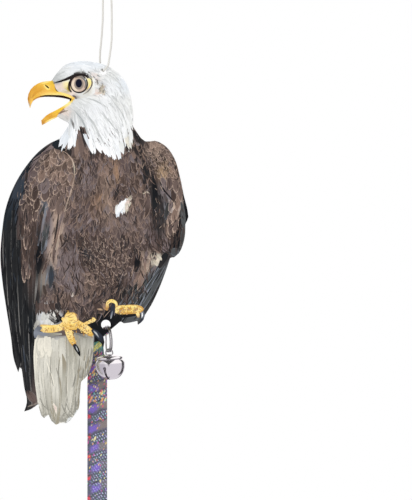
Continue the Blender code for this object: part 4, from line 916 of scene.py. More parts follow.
    coverts = Print("left_covert_print", BODY_AIR, seed=42)
    flow = [(50, 155, 128), (62, 158, 98), (70, 168, 98), (45, 175, 108), (60, 180, 104), (70, 190, 102), (35, 195, 98),
            (55, 205, 98), (27, 225, 92), (62, 215, 108), (56, 240, 104), (27, 260, 86)]
    coverts.tract([(30, 168), (40, 155), (50, 149), (60, 149), (69, 156), (75, 167), (75, 176), (71, 190), (66, 208),
                   (54, 212), (42, 206), (33, 215), (24, 216), (20, 200), (24, 180)],
                  (5.6, 5.4), 9.5, 3.3, flow, "sand", 0.7, 0.65, 0.13, shade=0.26, turn=18, bend=0.2, tip=0.35,
                  stray=(("umber", "hazel", "mauve", "plum"), 0.42), deep=0.68)
    for root, heading, length, half, tint, edge, strength in (
            ((21, 218), 84, 22, 2.6, "umber", "smoke", 0.6), ((23, 236), 82, 26, 2.8, "umber", "tan", 0.5),
            ((31, 210), 100, 20, 3.2, "bark", "tan", 0.9), ((27, 204), 92, 25, 3.4, "brown", "sand", 0.9),
            ((33, 226), 98, 24, 2.8, "umber", "tan", 0.5), ((27, 224), 90, 26, 3.6, "brown", "sand", 0.8),
            ((33, 244), 94, 26, 3.0, "umber", "smoke", 0.5), ((25, 244), 86, 28, 3.4, "bark", "tan", 0.7),
            ((29, 256), 90, 24, 3.0, "brown", "sand", 0.9), ((23, 262), 84, 21, 2.4, "bark", "sand", 0.9),
            ((36, 186), 96, 16, 3.6, "umber", "sand", 1.0), ((43, 170), 100, 13, 4.0, "hazel", "sand", 1.0),
            ((38, 198), 98, 14, 3.4, "umber", "sand", 0.9), ((47, 188), 100, 14, 4.6, "bark", "sand", 0.9),
            ((56, 196), 104, 16, 5.4, "brown", "sand", 0.9), ((62, 196), 100, 20, 4.4, "brown", "tan", 0.6),
            ((36, 206), 94, 16, 3.0, "bark", "sand", 0.9), ((46, 178), 96, 16, 4.6, "mauve", "lilac", 0.6)):
        coverts.feather(*root, heading, length, half, (INK[tint] * 0.8, INK[tint]), INK[edge], strength, 0.5, 0.2,
                        bend=0.04, tip=0.4, columns=4, rows=7)
    lay_bands(coverts, (
        (0.24, "mist", 0.4, 0.5, [(45.5, 202, 0.4, "steel"), (43, 210, 1.6, "pewter"), (40.4, 220, 2.2, "umber"),
                                  (38.6, 234, 2.0, "char"), (38, 246, 0.8, "char")]),
        (0.26, "mist", 0.4, 0.7, [(50, 206, 0.8, "plum"), (48, 218, 2.4, "plum"), (46, 230, 3.0, "lead"),
                                   (43.5, 243, 2.2, "pewter"), (42, 254, 0.8, "coal")]),
        (0.27, None, 0, 0.5, [(49.6, 226, 0.3, "slate"), (47.4, 236, 0.9, "lead"), (46, 245, 0.9, "mist"),
                              (44.6, 251, 0.3, "steel")]),
        (0.25, None, 0, 0.2, [(43, 238, 0.5, "coal"), (39.6, 250, 2.8, "black"), (38.6, 262, 3.2, "black"),
                              (38, 274, 0.8, "coal")]),
        (0.27, "sand", 0.5, 0.9, [(65, 198, 0.4, "tan"), (64.2, 208, 1.0, "hazel"), (61.2, 220, 2.0, "mauve"),
                                  (58, 234, 2.4, "hazel"), (54.8, 248, 2.0, "brown"), (53.6, 260, 1.8, "bark"),
                                  (55.2, 270, 0.5, "mauve")]),
        (0.28, None, 0, 0.6, [(58.6, 214, 0.4, "umber"), (57.0, 227, 0.9, "char"), (54.2, 242, 0.8, "umber")]),
        (0.28, None, 0, 0.6, [(62.6, 218, 0.2, "tan"), (59.4, 234, 0.5, "sand"), (55.6, 250, 0.3, "fawn")]),
        (0.28, None, 0, 0.6, [(56, 224, 0.2, "tan"), (53.4, 240, 0.5, "sand"), (51.8, 254, 0.3, "tan")]),
        (0.29, "linen", 0.3, 0.8, [(61, 150.2, 0.2, "tan"), (67, 153.6, 0.45, "tan"), (72.2, 160, 0.6, "sand"),
                                   (74.4, 168, 0.6, "fawn"), (74.2, 178, 0.5, "tan"), (71.4, 190, 0.6, "sand"),
                                   (67.4, 202, 0.6, "tan"), (64.6, 212, 0.4, "tan")]),
        (0.26, "taupe", 0.5, 0.7, [(37, 266, 0.4, "smoke"), (37.4, 274, 1.2, "pewter"), (36, 290, 1.0, "smoke"),
                                   (34.6, 304, 0.3, "pewter")]),
        (0.26, "taupe", 0.5, 0.7, [(42, 270, 0.3, "taupe"), (41.4, 282, 0.8, "smoke"), (40.4, 300, 0.3, "pewter")]),
        (0.27, None, 0, 0.5, [(48.2, 270, 0.2, "smoke"), (46.8, 277, 0.7, "mist"), (45, 286, 0.3, "smoke")]),
        (0.25, "steel", 0.4, 0.6, [(51, 266, 0.8, "pewter"), (51.4, 276, 2.6, "slate"), (50, 288, 1.0, "pewter")]),
        (0.25, "tan", 0.6, 0.5, [(47, 258, 0.6, "umber"), (45.6, 266, 1.6, "bark"), (42, 274, 0.5, "umber")])))
    patch = [(30, 168), (40, 155), (60, 149), (75, 167), (71, 190), (62, 230), (54, 262), (34, 262), (24, 240), (22, 205)]
    coverts.wisps(patch, 110, ("tan", "hazel", "lilac", "mauve"), 0.2, 5.5, flow, 26, 0.32, bend=0.5)
    coverts.wisps(patch, 130, ("umber", "char", "bark"), 0.34, 5.5, flow, 18, 0.3)
    coverts.wisps([(20, 206), (36, 205), (38, 240), (36, 268), (28, 278), (20, 262)], 110, ("umber", "char", "umber"),
                  0.5, 8.0, flow, 9, 0.305, bend=0.15)
    coverts.finish(material)


def print_right_wing(material):
    quills = Print("right_quills_print", BODY_AIR, seed=51)
    lay_bands(quills, [(0.07 + 0.012 * i, rim, 0.6, 0.35, points) for i, (rim, points) in enumerate((
        ("pewter", [(170, 256, 1.2, "char"), (166, 270, 3.0, "lead"), (158, 288, 3.2, "pewter"), (150, 304, 3.0, "pewter"),
                    (143, 316, 1.0, "pewter")]),
        ("mist", [(168, 258, 1.5, "char"), (161, 272, 3.2, "lead"), (153, 288, 3.4, "lead"), (144, 304, 3.2, "lead"),
                  (136, 318, 1.4, "lead")]),
        ("mist", [(162, 262, 1.5, "steel"), (154, 276, 3.0, "lead"), (145, 291, 3.2, "lead"), (136, 306, 3.0, "lead"),
                  (126, 321, 1.6, "lead")]),
        ("mist", [(156, 266, 1.0, "mauve"), (149, 278, 2.6, "lead"), (139, 293, 2.8, "lead"), (129, 308, 2.8, "pewter"),
                  (120, 320, 1.6, "lead")]),
        ("mist", [(148, 274, 0.8, "mauve"), (140, 286, 2.2, "lead"), (131, 299, 2.4, "lead"), (122, 311, 1.4, "pewter")]),
        ("mist", [(139, 282, 0.8, "char"), (131, 291, 2.0, "pewter"), (123, 302, 1.8, "lead"), (118, 308, 0.8, "char")])))])
    for i, points in enumerate((
            [(160, 266), (148, 284), (134, 306)], [(165, 266), (155, 284), (143, 304)], [(153, 268), (143, 284), (132, 300)],
            [(169, 268), (161, 286), (152, 304)], [(146, 280), (136, 294), (127, 306)], [(137, 286), (130, 296), (124, 304)],
            [(158, 274), (146, 294), (136, 312)])):
        quills.band([(*points[0], 0.15, "mist"), (*points[1], 0.5, ("mist", "lead", "char")[i % 3]),
                     (*points[2], 0.15, "mist")], 0.16, barbs=0.3, columns=2, step=5)
    quills.wisps([(166, 258), (172, 262), (154, 300), (144, 316), (124, 318), (118, 306), (136, 282)], 110,
                 ("black", "coal", "char"), 0.38, 10.0, [(150, 290, 120)], 6, 0.19, bend=0.08)
    lay_bands(quills, (
        (0.17, "black", 0.3, 0.4, [(127, 276, 0.8, "char"), (122, 286, 2.6, "coal"), (116, 298, 2.0, "coal"),
                                   (113, 304, 0.8, "char")]),
        (0.18, "taupe", 0.5, 0.5, [(131, 268, 0.6, "plum"), (126, 281, 1.8, "bark"), (120, 293, 1.0, "umber")]),
        (0.17, "black", 0.2, 0.3, [(168, 252, 1.5, "coal"), (164, 258, 3.0, "coal"), (159, 268, 1.4, "char")]),
        (0.2, "sand", 0.6, 0.5, [(143, 270, 0.8, "hazel"), (141, 280, 2.8, "hazel"), (138, 291, 1.0, "bark")]),
        (0.18, "mist", 0.3, 0.2, [(121, 321, 1.0, "lead"), (130, 319.6, 2.6, "lead"), (139, 317.6, 1.6, "lead")])))
    quills.finish(material)

    coverts = Print("right_covert_print", BODY_AIR, seed=52)
    flow = [(150, 150, 70), (160, 150, 62), (172, 165, 78), (165, 175, 84), (178, 190, 88), (160, 190, 72),
            (172, 215, 96), (175, 232, 100), (158, 220, 92), (158, 245, 60)]
    coverts.tract([(146, 142), (156, 139), (168, 147), (177, 162), (183, 185), (186, 200), (176, 200), (168, 186),
                   (160, 178), (152, 168)],
                  (3.2, 3.6), 5.8, 1.8, flow, "sand", 0.75, 0.7, 0.12, shade=0.32, turn=30, bend=0.25, tip=0.4,
                  stray=(("umber", "bark", "plum", "char"), 0.55), deep=0.6)
    coverts.tract([(153, 184), (162, 186), (168, 200), (166, 236), (156, 244), (151, 214)],
                  (4.6, 8.0), 14.0, 1.8, flow, "lead", 0.4, 0.5, 0.1, shade=0.3, turn=12, bend=0.1, tip=0.3,
                  stray=(("black", "char", "umber"), 0.5))
    coverts.tract([(166, 210), (178, 206), (180, 232), (174, 238), (167, 232)],
                  (4.8, 5.4), 9.0, 3.0, flow, "sand", 0.9, 0.5, 0.14, shade=0.22, turn=14, bend=0.15, tip=0.35,
                  stray=(("umber", "bark", "hazel"), 0.4))
    for root, heading, length, half, tint, edge, strength in (
            ((169, 178), 84, 12, 3.6, "bark", "sand", 0.8), ((176, 180), 86, 13, 3.6, "brown", "sand", 0.8),
            ((162, 178), 66, 24, 3.2, "mauve", "mist", 0.5), ((180, 186), 86, 15, 2.8, "brown", "tan", 0.8),
            ((173, 190), 84, 13, 3.4, "umber", "sand", 0.8), ((178, 196), 92, 15, 3.0, "hazel", "sand", 0.7),
            ((172, 198), 98, 15, 2.4, "mauve", "fawn", 0.5), ((168, 203), 96, 17, 2.2, "pewter", "mist", 0.4),
            ((175, 200), 96, 10, 1.6, "sand", "blush", 0.5),
            ((176, 208), 100, 15, 3.2, "hazel", "sand", 0.9), ((171, 213), 94, 12, 3.2, "brown", "sand", 1.0),
            ((177, 220), 102, 13, 3.0, "brown", "sand", 1.0), ((171, 224), 92, 12, 3.0, "bark", "sand", 0.9)):
        coverts.feather(*root, heading, length, half, (INK[tint] * 0.85, INK[tint]), INK[edge], strength, 0.45, 0.19,
                        bend=0.05, tip=0.35, columns=4, rows=6)
    patch = [(146, 142), (156, 139), (168, 147), (177, 162), (184, 190), (182, 230), (166, 240), (152, 214), (152, 170)]
    coverts.wisps(patch, 100, ("sand", "tan", "hazel", "lilac"), 0.2, 4.2, flow, 30, 0.26, bend=0.5)
    coverts.wisps(patch, 120, ("umber", "char", "coal"), 0.34, 5.0, flow, 20, 0.25)
    coverts.wisps([(150, 200), (166, 240), (184, 214), (184, 236), (172, 248), (160, 250), (148, 248)], 190,
                  ("umber", "char", "umber"), 0.5, 8.0, flow, 14, 0.245)
    lay_bands(coverts, (
        (0.25, "black", 0.3, 0.1, [(160, 182, 0.3, "coal"), (164, 190, 0.7, "black"), (169, 196, 0.8, "black"),
                                   (172.6, 200.4, 0.3, "coal")]),
        (0.2, "black", 0.2, 0.2, [(153, 176, 0.8, "coal"), (155, 190, 2.4, "black"), (155, 206, 2.2, "coal"),
                                  (154, 224, 1.0, "char")]),
        (0.2, "black", 0.2, 0.2, [(183.4, 194, 0.6, "black"), (186, 204, 2.0, "black"), (187.6, 216, 1.6, "black"),
                                  (185, 224, 0.5, "black")]),
        (0.22, "smoke", 0.4, 0.2, [(181, 202, 0.6, "lead"), (183, 212, 2.0, "lead"), (183.4, 226, 2.2, "lead"),
                                   (182, 240, 1.8, "pewter"), (180, 248, 0.8, "pewter")]),
        (0.2, "black", 0.2, 0.2, [(180, 214, 0.4, "black"), (179.6, 228, 1.4, "black"), (177, 240, 4.4, "black"),
                                  (173, 248, 3.6, "black"), (169, 252, 1.2, "coal")]),
        (0.23, "mist", 0.5, 0.25, [(171, 249, 1.4, "lead"), (175, 252, 4.4, "lead"), (178, 254, 1.6, "lead")]),
        (0.2, "tan", 0.6, 0.5, [(152, 240, 1.4, "plum"), (157, 246, 4.6, "bark"), (160, 253, 1.6, "umber")]),
        (0.21, "lilac", 0.5, 0.4, [(163, 238, 1.2, "mauve"), (166, 245, 3.6, "mauve"), (164, 252, 1.2, "plum")]),
        (0.24, "linen", 0.4, 0.7, [(154, 255.6, 0.4, "tan"), (157.4, 257, 1.2, "fawn"), (160.4, 258.4, 1.5, "linen"),
                                   (161.6, 260.4, 0.5, "fawn")]),
        (0.245, "linen", 0.4, 0.6, [(152, 258, 0.4, "taupe"), (155, 262, 1.6, "fawn"), (157.6, 266, 0.8, "linen")]),
        (0.22, "tan", 0.5, 0.6, [(147, 246, 0.5, "plum"), (146, 256, 1.6, "mauve"), (145, 266, 1.2, "hazel"),
                                 (146, 275, 0.5, "tan")]),
        (0.23, "linen", 0.4, 0.6, [(151, 257, 0.3, "tan"), (149, 264, 0.6, "tan"), (147, 272, 0.3, "sand")])))
    coverts.finish(material)


def print_tail(material):
    tail = Print("tail_print", TAIL_AIR, seed=61)
    feathers = (
        ("flint", [(90, 334, 3, "flint"), (89.6, 350, 4, "bone"), (87, 366, 4, "bone"), (82, 380, 2.4, "bone")]),
        ("flint", [(83, 334, 3, "flint"), (83, 352, 4.4, "bone"), (80.5, 374, 4.4, "bone"), (78, 398, 3.4, "bone"),
                  (77.5, 410, 1.6, "chalk")]),
        ("flint", [(76, 334, 3, "drab"), (77, 356, 4.6, "stone"), (76, 382, 5, "bone"), (74, 402, 4.6, "bone"),
                  (71, 417, 2.0, "chalk")]),
        ("flint", [(69, 334, 3, "drab"), (70.6, 358, 4.4, "stone"), (70, 386, 4.8, "bone"), (68, 406, 4.8, "chalk"),
                   (64, 422, 2.0, "bone")]),
        ("flint", [(36, 338, 2, "shell"), (36.4, 358, 3.2, "shell"), (37.6, 380, 4, "chalk"), (40.6, 402, 4, "chalk"),
                  (43.6, 418, 1.2, "bone")]),
        ("flint", [(42, 338, 3, "chalk"), (41.6, 362, 4.2, "chalk"), (43.6, 386, 4.6, "chalk"), (46.6, 408, 4.2, "bone"),
                  (50, 421, 1.6, "bone")]),
        ("flint", [(62, 338, 3, "bone"), (62.4, 362, 4.0, "chalk"), (62, 388, 4.6, "stone"), (61.4, 408, 4.8, "bone"),
                  (60, 422, 2.0, "bone")]),
        ("flint", [(48, 345, 2, "shell"), (47.4, 366, 4.2, "chalk"), (49.4, 390, 4.6, "bone"), (52, 410, 4.6, "stone"),
                  (54, 424, 2.0, "stone")]),
        ("drab", [(56, 340, 3, "chalk"), (54.6, 362, 4.6, "bone"), (55, 388, 4.4, "chalk"), (56.4, 408, 4.2, "stone"),
                  (57, 424, 1.6, "drab")]))
    lay_bands(tail, [(0.06 + 0.014 * i, rim, 0.9, 0.3, points) for i, (rim, points) in enumerate(feathers)])
    for i, (rim, points) in enumerate(feathers):
        for _ in range(3):
            aside = tail.chance.uniform(-0.85, 0.85)
            tint = ("stone", "bone", "shell", "chalk")[int(tail.chance.random() * 4)]
            line = [(x + aside * half, y, 0.14, tint) for x, y, half, _ in points[:-1]]
            tail.band([(*line[0][:2], 0.08, tint), *line[1:]], 0.075 + 0.014 * i, barbs=0.2, step=4, columns=1)

    lay_bands(tail, (
        (0.2, None, 0, 0.12, [(62.4, 354, 0.4, "drab"), (64.4, 364, 2.0, "drab"), (64, 378, 1.4, "stone"),
                              (63.6, 392, 0.3, "bone")]),
        (0.2, None, 0, 0.1, [(35.4, 339, 0.5, "shell"), (34.6, 356, 1.0, "shell"), (35.2, 378, 0.5, "chalk")]),
        (0.2, None, 0, 0.1, [(50.4, 358, 0.3, "flint"), (50.6, 372, 0.6, "flint"), (53.4, 386, 0.3, "flint")]),
        (0.2, None, 0, 0.1, [(60, 357, 0.3, "drab"), (58.6, 372, 0.6, "flint"), (59.4, 396, 0.3, "bone")]),
        (0.2, None, 0, 0.1, [(56.4, 368, 0.3, "flint"), (60.4, 384, 0.7, "drab"), (61.6, 404, 0.3, "stone")]),
        (0.2, None, 0, 0.1, [(66, 376, 0.3, "drab"), (66.4, 394, 0.6, "flint"), (69, 408, 0.3, "bone")]),
        (0.2, None, 0, 0.1, [(73, 344, 0.3, "drab"), (76.4, 366, 0.8, "stone"), (76, 392, 0.3, "bone")]),
        (0.2, None, 0, 0.1, [(46, 360, 0.3, "shell"), (51.6, 376, 0.8, "shell"), (55, 392, 0.3, "chalk")]),
        (0.2, None, 0, 0.1, [(61, 402, 0.3, "flint"), (64.6, 411, 0.5, "flint"), (69.6, 418, 0.3, "flint")]),
        (0.2, None, 0, 0.1, [(66, 402, 0.3, "flint"), (69, 410, 0.5, "flint"), (74, 415, 0.3, "flint")]),
        (0.2, None, 0, 0.1, [(40, 398, 0.3, "flint"), (44, 406, 0.5, "flint"), (50, 410, 0.3, "flint")]),
        (0.2, None, 0, 0.1, [(50, 408, 0.3, "drab"), (53, 416, 0.6, "drab"), (56, 423, 0.3, "flint")]),
        (0.22, "drab", 0.4, 0.15, [(53.4, 403, 0.4, "shell"), (55.6, 408, 1.4, "blush"), (56.6, 414, 0.4, "shell")]),
        (0.2, "flint", 0.5, 0.15, [(79, 350, 0.5, "bone"), (81, 364, 2.4, "bone"), (80, 378, 1.0, "flint")])))
    for root, heading, length, half, tint in (
            ((44, 338), 94, 21, 4.0, "shell"), ((49, 337), 88, 22, 3.6, "shell"), ((39, 338), 90, 18, 3.0, "chalk"),
            ((41, 338), 96, 14, 3.4, "shell"), ((53, 338), 84, 15, 2.6, "chalk"), ((46, 336), 90, 18, 3.2, "shell")):
        tail.feather(*root, heading, length, half, (INK[tint] * 0.9, INK[tint]), INK["stone"], 0.6, 0.4, 0.22,
                     bend=0.03, tip=0.2)
    tail.wisps([(36, 345), (56, 342), (62, 360), (92, 340), (88, 372), (78, 400), (60, 418), (42, 410), (34, 370)], 170,
               ("bone", "shell", "stone", "chalk"), 0.16, 12.0, [(40, 380, 86), (60, 380, 92), (80, 370, 98), (60, 415, 100)],
               4, 0.2, barbs=0.1, bend=0.08)
    tail.wisps([(82, 345), (93, 342), (93, 372), (82, 396), (74, 404), (76, 372)], 110, ("drab", "flint", "stone"), 0.6,
               12.0, [(84, 370, 100)], 4, 0.19, barbs=0.2, bend=0.08)
    # the grey shadow that the feet throw on the tail, and the bar they stand on
    lay_bands(tail, (
        (0.26, None, 0, 0.25, [(38, 333, 1.4, "mist"), (44, 334, 2.0, "mist"), (52, 334.2, 1.6, "flint"),
                               (62, 334, 0.8, "stone")]),
        (0.26, None, 0, 0.3, [(74, 333.2, 0.8, "flint"), (79, 334.2, 1.0, "smoke"), (85, 337, 1.0, "flint"),
                              (91, 338, 0.5, "stone")])))
    tail.finish(material)


def print_feet(material):
    thigh = Print("thigh_print", BODY_AIR, seed=71)
    thigh.tract([(38, 314), (48, 312), (58, 313), (58, 320), (52, 326), (36, 326)], (3.2, 4.2), 11.0, 1.6,
                [(45, 310, 100), (52, 315, 84), (40, 320, 106)], "stone", 0.4, 0.4, 0.16, shade=0.1, turn=14,
                stray=(("chalk", "stone", "bone", "flint"), 0.8))
    for root, heading, length, half, tint in (
            ((50, 313), 48, 9, 0.7, "smoke"), ((49, 317), 36, 9, 0.7, "char"), ((51, 320), 26, 8, 0.7, "smoke"),
            ((55, 311), 60, 12, 1.4, "char"), ((57, 315), 50, 9, 1.6, "black"), ((42, 303), 92, 10, 2.6, "bark"),
            ((38, 302), 96, 12, 2.0, "umber"), ((46, 303), 78, 10, 2.6, "brown"), ((51, 303), 70, 9, 2.6, "umber"),
            ((56, 303), 62, 10, 2.4, "char"), ((40, 308), 88, 7, 1.4, "umber"), ((48, 308), 80, 6, 1.6, "char")):
        thigh.tuft(*root, heading, length, half, tint, "smoke", 0.3, 0.5, 0.2)
    lay_bands(thigh, (
        (0.2, "black", 0.2, 0.2, [(56, 313, 1.2, "char"), (59, 319, 2.2, "black"), (54, 323.4, 1.0, "coal")]),
        (0.14, None, 0, 0.15, [(97, 318, 3.0, "black"), (106, 316, 6.0, "black"), (116, 319, 4.0, "black"),
                               (122, 320, 1.6, "black")]),
        (0.15, None, 0, 0.12, [(92, 322, 2.0, "black"), (98, 329, 6.0, "black"), (100, 337, 5.0, "black"),
                               (97, 343, 3.0, "black")]),
        (0.15, None, 0, 0.12, [(104, 320, 5.0, "black"), (109, 326, 6.0, "black"), (110, 334, 5.0, "black")]),
        (0.15, None, 0, 0.12, [(114, 316.6, 1.6, "black"), (126, 315.8, 1.8, "black"), (137, 314.6, 1.0, "coal")]),
        (0.13, "tan", 0.4, 0.4, [(94, 302, 2.0, "umber"), (100, 309, 4.0, "umber"), (104, 314, 2.0, "char")])))
    thigh.finish(material)

    feet = Print("feet_print", BODY_AIR, seed=72)
    lay_bands(feet, (
        (0.22, "foot_dim", 0.7, 0.22, [(92, 318.4, 1.0, "butter"), (94.4, 319.6, 1.9, "foot_pale"), (89, 322, 1.7, "foot_pale"),
                                    (83, 325, 1.6, "foot")]),
        (0.24, "foot_dim", 0.75, 0.22, [(74, 322, 4.0, "foot"), (80, 325, 3.6, "foot"), (86, 329, 4.0, "foot_pale"),
                                     (91, 333, 3.6, "foot"), (93.2, 335, 2.0, "foot_dim")]),
        (0.26, "foot_dim", 0.6, 0.2, [(66, 323.4, 3.6, "foot"), (60, 327.4, 3.4, "foot_pale"), (52, 328.8, 3.8, "foot"),
                                   (45, 328.4, 4.0, "foot_pale"), (40, 327.2, 2.8, "foot")]),
        (0.28, "foot_dim", 0.6, 0.2, [(67.4, 324, 4.2, "foot"), (69, 333, 3.4, "foot_pale"), (72, 340, 3.2, "foot"),
                                   (74.4, 345, 2.2, "foot_dim")]),
        (0.3, "foot_dim", 0.6, 0.2, [(70.4, 312.6, 4.0, "foot"), (70.6, 318, 6.8, "foot_pale"), (71.6, 324, 7.6, "foot"),
                                  (72, 330, 4.4, "foot")]),
        (0.31, "foot_dim", 0.5, 0.2, [(62, 318, 1.2, "foot"), (65, 321, 2.4, "foot_pale"), (66, 326, 1.6, "foot")]),
        (0.32, None, 0, 0.1, [(68, 315, 0.8, "butter"), (70, 319, 2.2, "butter"), (73, 324, 1.2, "foot_pale")]),
        (0.32, None, 0, 0.15, [(75.4, 313.6, 0.5, "foot_dim"), (77.8, 317, 1.0, "hazel"), (77.6, 321, 0.5, "foot_dim")]),
        (0.33, None, 0, 0.1, [(43, 326.4, 0.6, "straw"), (50, 326.4, 0.9, "butter"), (58, 325.4, 0.4, "butter")]),
        (0.22, "foot_dim", 0.9, 0.3, [(114, 309, 2.2, "foot_pale"), (119, 309.8, 4.4, "foot_pale"), (128, 309.4, 4.6, "foot"),
                                   (136, 309.2, 4.4, "foot_pale"), (141, 309.4, 3.2, "foot_pale"), (143.4, 310, 1.4, "foot_dim")]),
        (0.24, None, 0, 0.25, [(118, 307.4, 0.6, "straw"), (127, 306.8, 1.4, "butter"), (138, 307, 0.6, "straw")]),
        (0.24, None, 0, 0.25, [(119, 312.8, 0.4, "foot_dim"), (128, 313, 0.7, "foot_dim"), (137, 312.6, 0.4, "foot_dim")]),
        (0.24, "foot_dim", 0.7, 0.2, [(136.4, 311, 1.4, "foot_pale"), (138, 314.6, 1.8, "foot_pale"), (138.6, 317.6, 0.8, "tan")]),
        (0.26, "foot_dim", 0.8, 0.2, [(107.4, 308, 1.4, "foot_dim"), (107.6, 303, 1.6, "foot_pale"), (111.4, 300.8, 1.7, "butter"),
                                   (115.6, 302.6, 1.6, "straw"), (116.8, 307, 1.2, "foot_pale")]),
        (0.24, "hazel", 0.6, 0.3, [(104, 303, 0.8, "hazel"), (104.6, 307, 2.0, "rust"), (108, 309.6, 1.4, "foot_dim")]),
        (0.24, "hazel", 0.6, 0.3, [(97, 309, 0.6, "hazel"), (100.6, 309.4, 1.0, "gilt"), (103, 310, 0.4, "rust")])))
    for line in ([(66, 324, 3.2), (60, 327.4, 3.0), (52, 328.8, 3.4), (45, 328.4, 3.4), (40, 327.4, 2.4)],
                 [(68, 326, 3.4), (69, 333, 3.0), (72, 340, 2.8), (74.2, 344.6, 1.8)],
                 [(76, 323, 3.4), (80, 325, 3.4), (86, 329, 3.6), (91, 333, 3.2)],
                 [(70, 311, 3.0), (70.6, 317, 6.0), (71.6, 324, 6.4), (72, 330, 3.8)],
                 [(114, 309, 2.0), (119, 309.8, 4.0), (128, 309.4, 4.2), (136, 309.2, 4.0), (141, 309.4, 2.8)],
                 [(92, 318.4, 0.8), (94, 319.8, 1.6), (88, 322.4, 1.5), (83, 325, 1.4)],
                 [(107.4, 308, 1.2), (107.6, 303, 1.4), (111.4, 300.8, 1.5), (115.6, 302.6, 1.4)]):
        feet.ribs(line, 0.345, ("foot_dim", "amber", "butter", "foot_pale", "foot", "gilt"), step=1.0, thick=0.38)
    for outline, count in (([(40, 325), (54, 325), (66, 320), (70, 309), (76, 314), (80, 322), (94, 332), (92, 337),
                             (84, 333), (74, 330), (76, 344), (72, 345), (66, 330), (54, 332), (42, 331)], 170),
                           ([(115, 307.5), (130, 306.5), (140.5, 307.5), (140.5, 311), (120, 312)], 90)):
        feet.wisps(outline, count, ("foot_dim", "gilt", "butter", "foot_pale", "amber"), 0.42, 1.9, [(80, 320, 80)], 75,
                   0.35, barbs=0.3, bend=0.5)
    for x, y in ((84, 327), (87, 330), (90, 333), (81, 325.4), (85.4, 333.6), (121, 309), (126, 311), (131, 308.4),
                 (136, 311), (123.6, 306.8), (129, 313), (139, 308), (64, 327.6), (55, 329), (48, 329.4)):
        feet.feather(x - 1, y, feet.chance.uniform(30, 150), 2.6, 0.8, (INK["foot_dim"], INK["gilt"]), INK["foot_dim"], 0.3,
                     0.3, 0.34, tip=0.4, columns=2, rows=3)
    feet.finish(material)

    claws = Print("claw_print", BODY_AIR, seed=73)
    lay_bands(claws, (
        (0.36, "mist", 0.5, 0.15, [(42, 327.6, 1.0, "claw_grey"), (38.4, 329, 2.6, "claw_grey"), (36.2, 333, 2.6, "mist"),
                                   (35.4, 338, 0.8, "claw_grey")]),
        (0.36, "black", 0.5, 0.15, [(92, 329.6, 1.4, "claw"), (96, 333, 2.8, "claw"), (100.6, 338, 2.8, "claw"),
                                    (103, 343, 2.0, "coal"), (103.2, 348, 0.5, "black")]),
        (0.39, None, 0, 0.05, [(93.4, 330.6, 0.4, "mist"), (96, 333.2, 0.8, "dove"), (99, 337.4, 0.4, "claw_grey")]),
        (0.36, "black", 0.5, 0.15, [(74, 344.2, 1.6, "claw"), (76.4, 348, 2.1, "coal"), (78.8, 352.6, 1.5, "black"),
                                    (80.2, 356.4, 0.3, "black")]),
        (0.39, None, 0, 0.05, [(75.8, 346, 0.3, "mist"), (77, 348.8, 0.6, "dove"), (78.4, 352, 0.2, "claw_grey")]),
        (0.36, "black", 0.5, 0.1, [(113.6, 303.6, 1.4, "claw"), (113, 308.4, 2.3, "claw"), (112, 314, 1.9, "claw"),
                                   (110.4, 320, 0.5, "coal")]),
        (0.39, None, 0, 0.05, [(112.6, 311, 0.3, "claw_grey"), (111.6, 315, 0.8, "mist"), (110.8, 318.6, 0.3, "dove")]),
        (0.36, "black", 0.5, 0.1, [(142.6, 311.2, 0.8, "claw_grey"), (143.6, 315, 1.4, "claw_grey"), (142.4, 319.6, 1.4, "claw"),
                                   (138.6, 324.6, 0.4, "claw")]),
        (0.39, None, 0, 0.05, [(142, 312.4, 0.3, "snow"), (142.3, 315.4, 0.7, "snow"), (141.6, 318.4, 0.3, "mist")])))
    claws.finish(material)


# The cord's own sizes and route, as the model has them, in metres
CORD_DIAMETER = 0.0020
LOOP_HEIGHT, LOOP_WIDTH = 0.0220, 0.0120
KNOT_HEIGHT, KNOT_WIDTH, KNOT_TAIL = 0.0090, 0.0080, 0.0100
STRAND_DROP, STRAND_SPREAD, BEND_RADIUS = 0.0889, 0.0085, 0.0040
SEAT, KNOT_CLEARANCE, BEND_LEAN = 0.0006, 0.0003, 0.0040
FRONT_STRAND = [(0.0, 0.15, 0.16), (0.10, 0.34, 0.25), (0.20, 0.46, 0.35), (0.29, 0.49, 0.43), (0.44, 0.53, 0.55),
                (0.58, 0.53, 0.68), (0.72, 0.51, 0.80), (0.82, 0.39, 0.90), (0.92, 0.22, 0.97)]
BACK_STRAND = [(0.0, -0.15, 0.16), (0.10, -0.27, 0.25), (0.20, -0.41, 0.35), (0.29, -0.51, 0.43), (0.44, -0.53, 0.55),
               (0.56, -0.58, 0.68), (0.65, -0.65, 0.76), (0.75, -0.75, 0.85), (0.84, -0.85, 0.92), (0.93, -0.87, 0.98)]
BEND = [(-90, 1.0), (-60, 0.55), (-30, 0.2), (0, 0.0), (30, -0.17), (60, -0.45), (90, -0.65)]
LOOP = [(0.24, 0.83), (1.0, 0.5), (0.8, 0.17)]


def tangent(points, index):
    if index == 0:
        return points[1] - points[0]
    if index == len(points) - 1:
        return points[-1] - points[-2]
    before = points[index] - points[index - 1]
    after = points[index + 1] - points[index]
    reach = before.length + after.length
    return before / before.length * (after.length / reach) + after / after.length * (before.length / reach)


def smooth_curve(points, step):
    points = [Vector(point) for point in points]
    curve = [points[0]]
    for index in range(len(points) - 1):
        start, end = points[index], points[index + 1]
        span = (end - start).length
        handle_1 = start + tangent(points, index).normalized() * span / 3
        handle_2 = end - tangent(points, index + 1).normalized() * span / 3
        curve += interpolate_bezier(start, handle_1, handle_2, end, max(1, round(span / step)) + 1)[1:]
    return curve


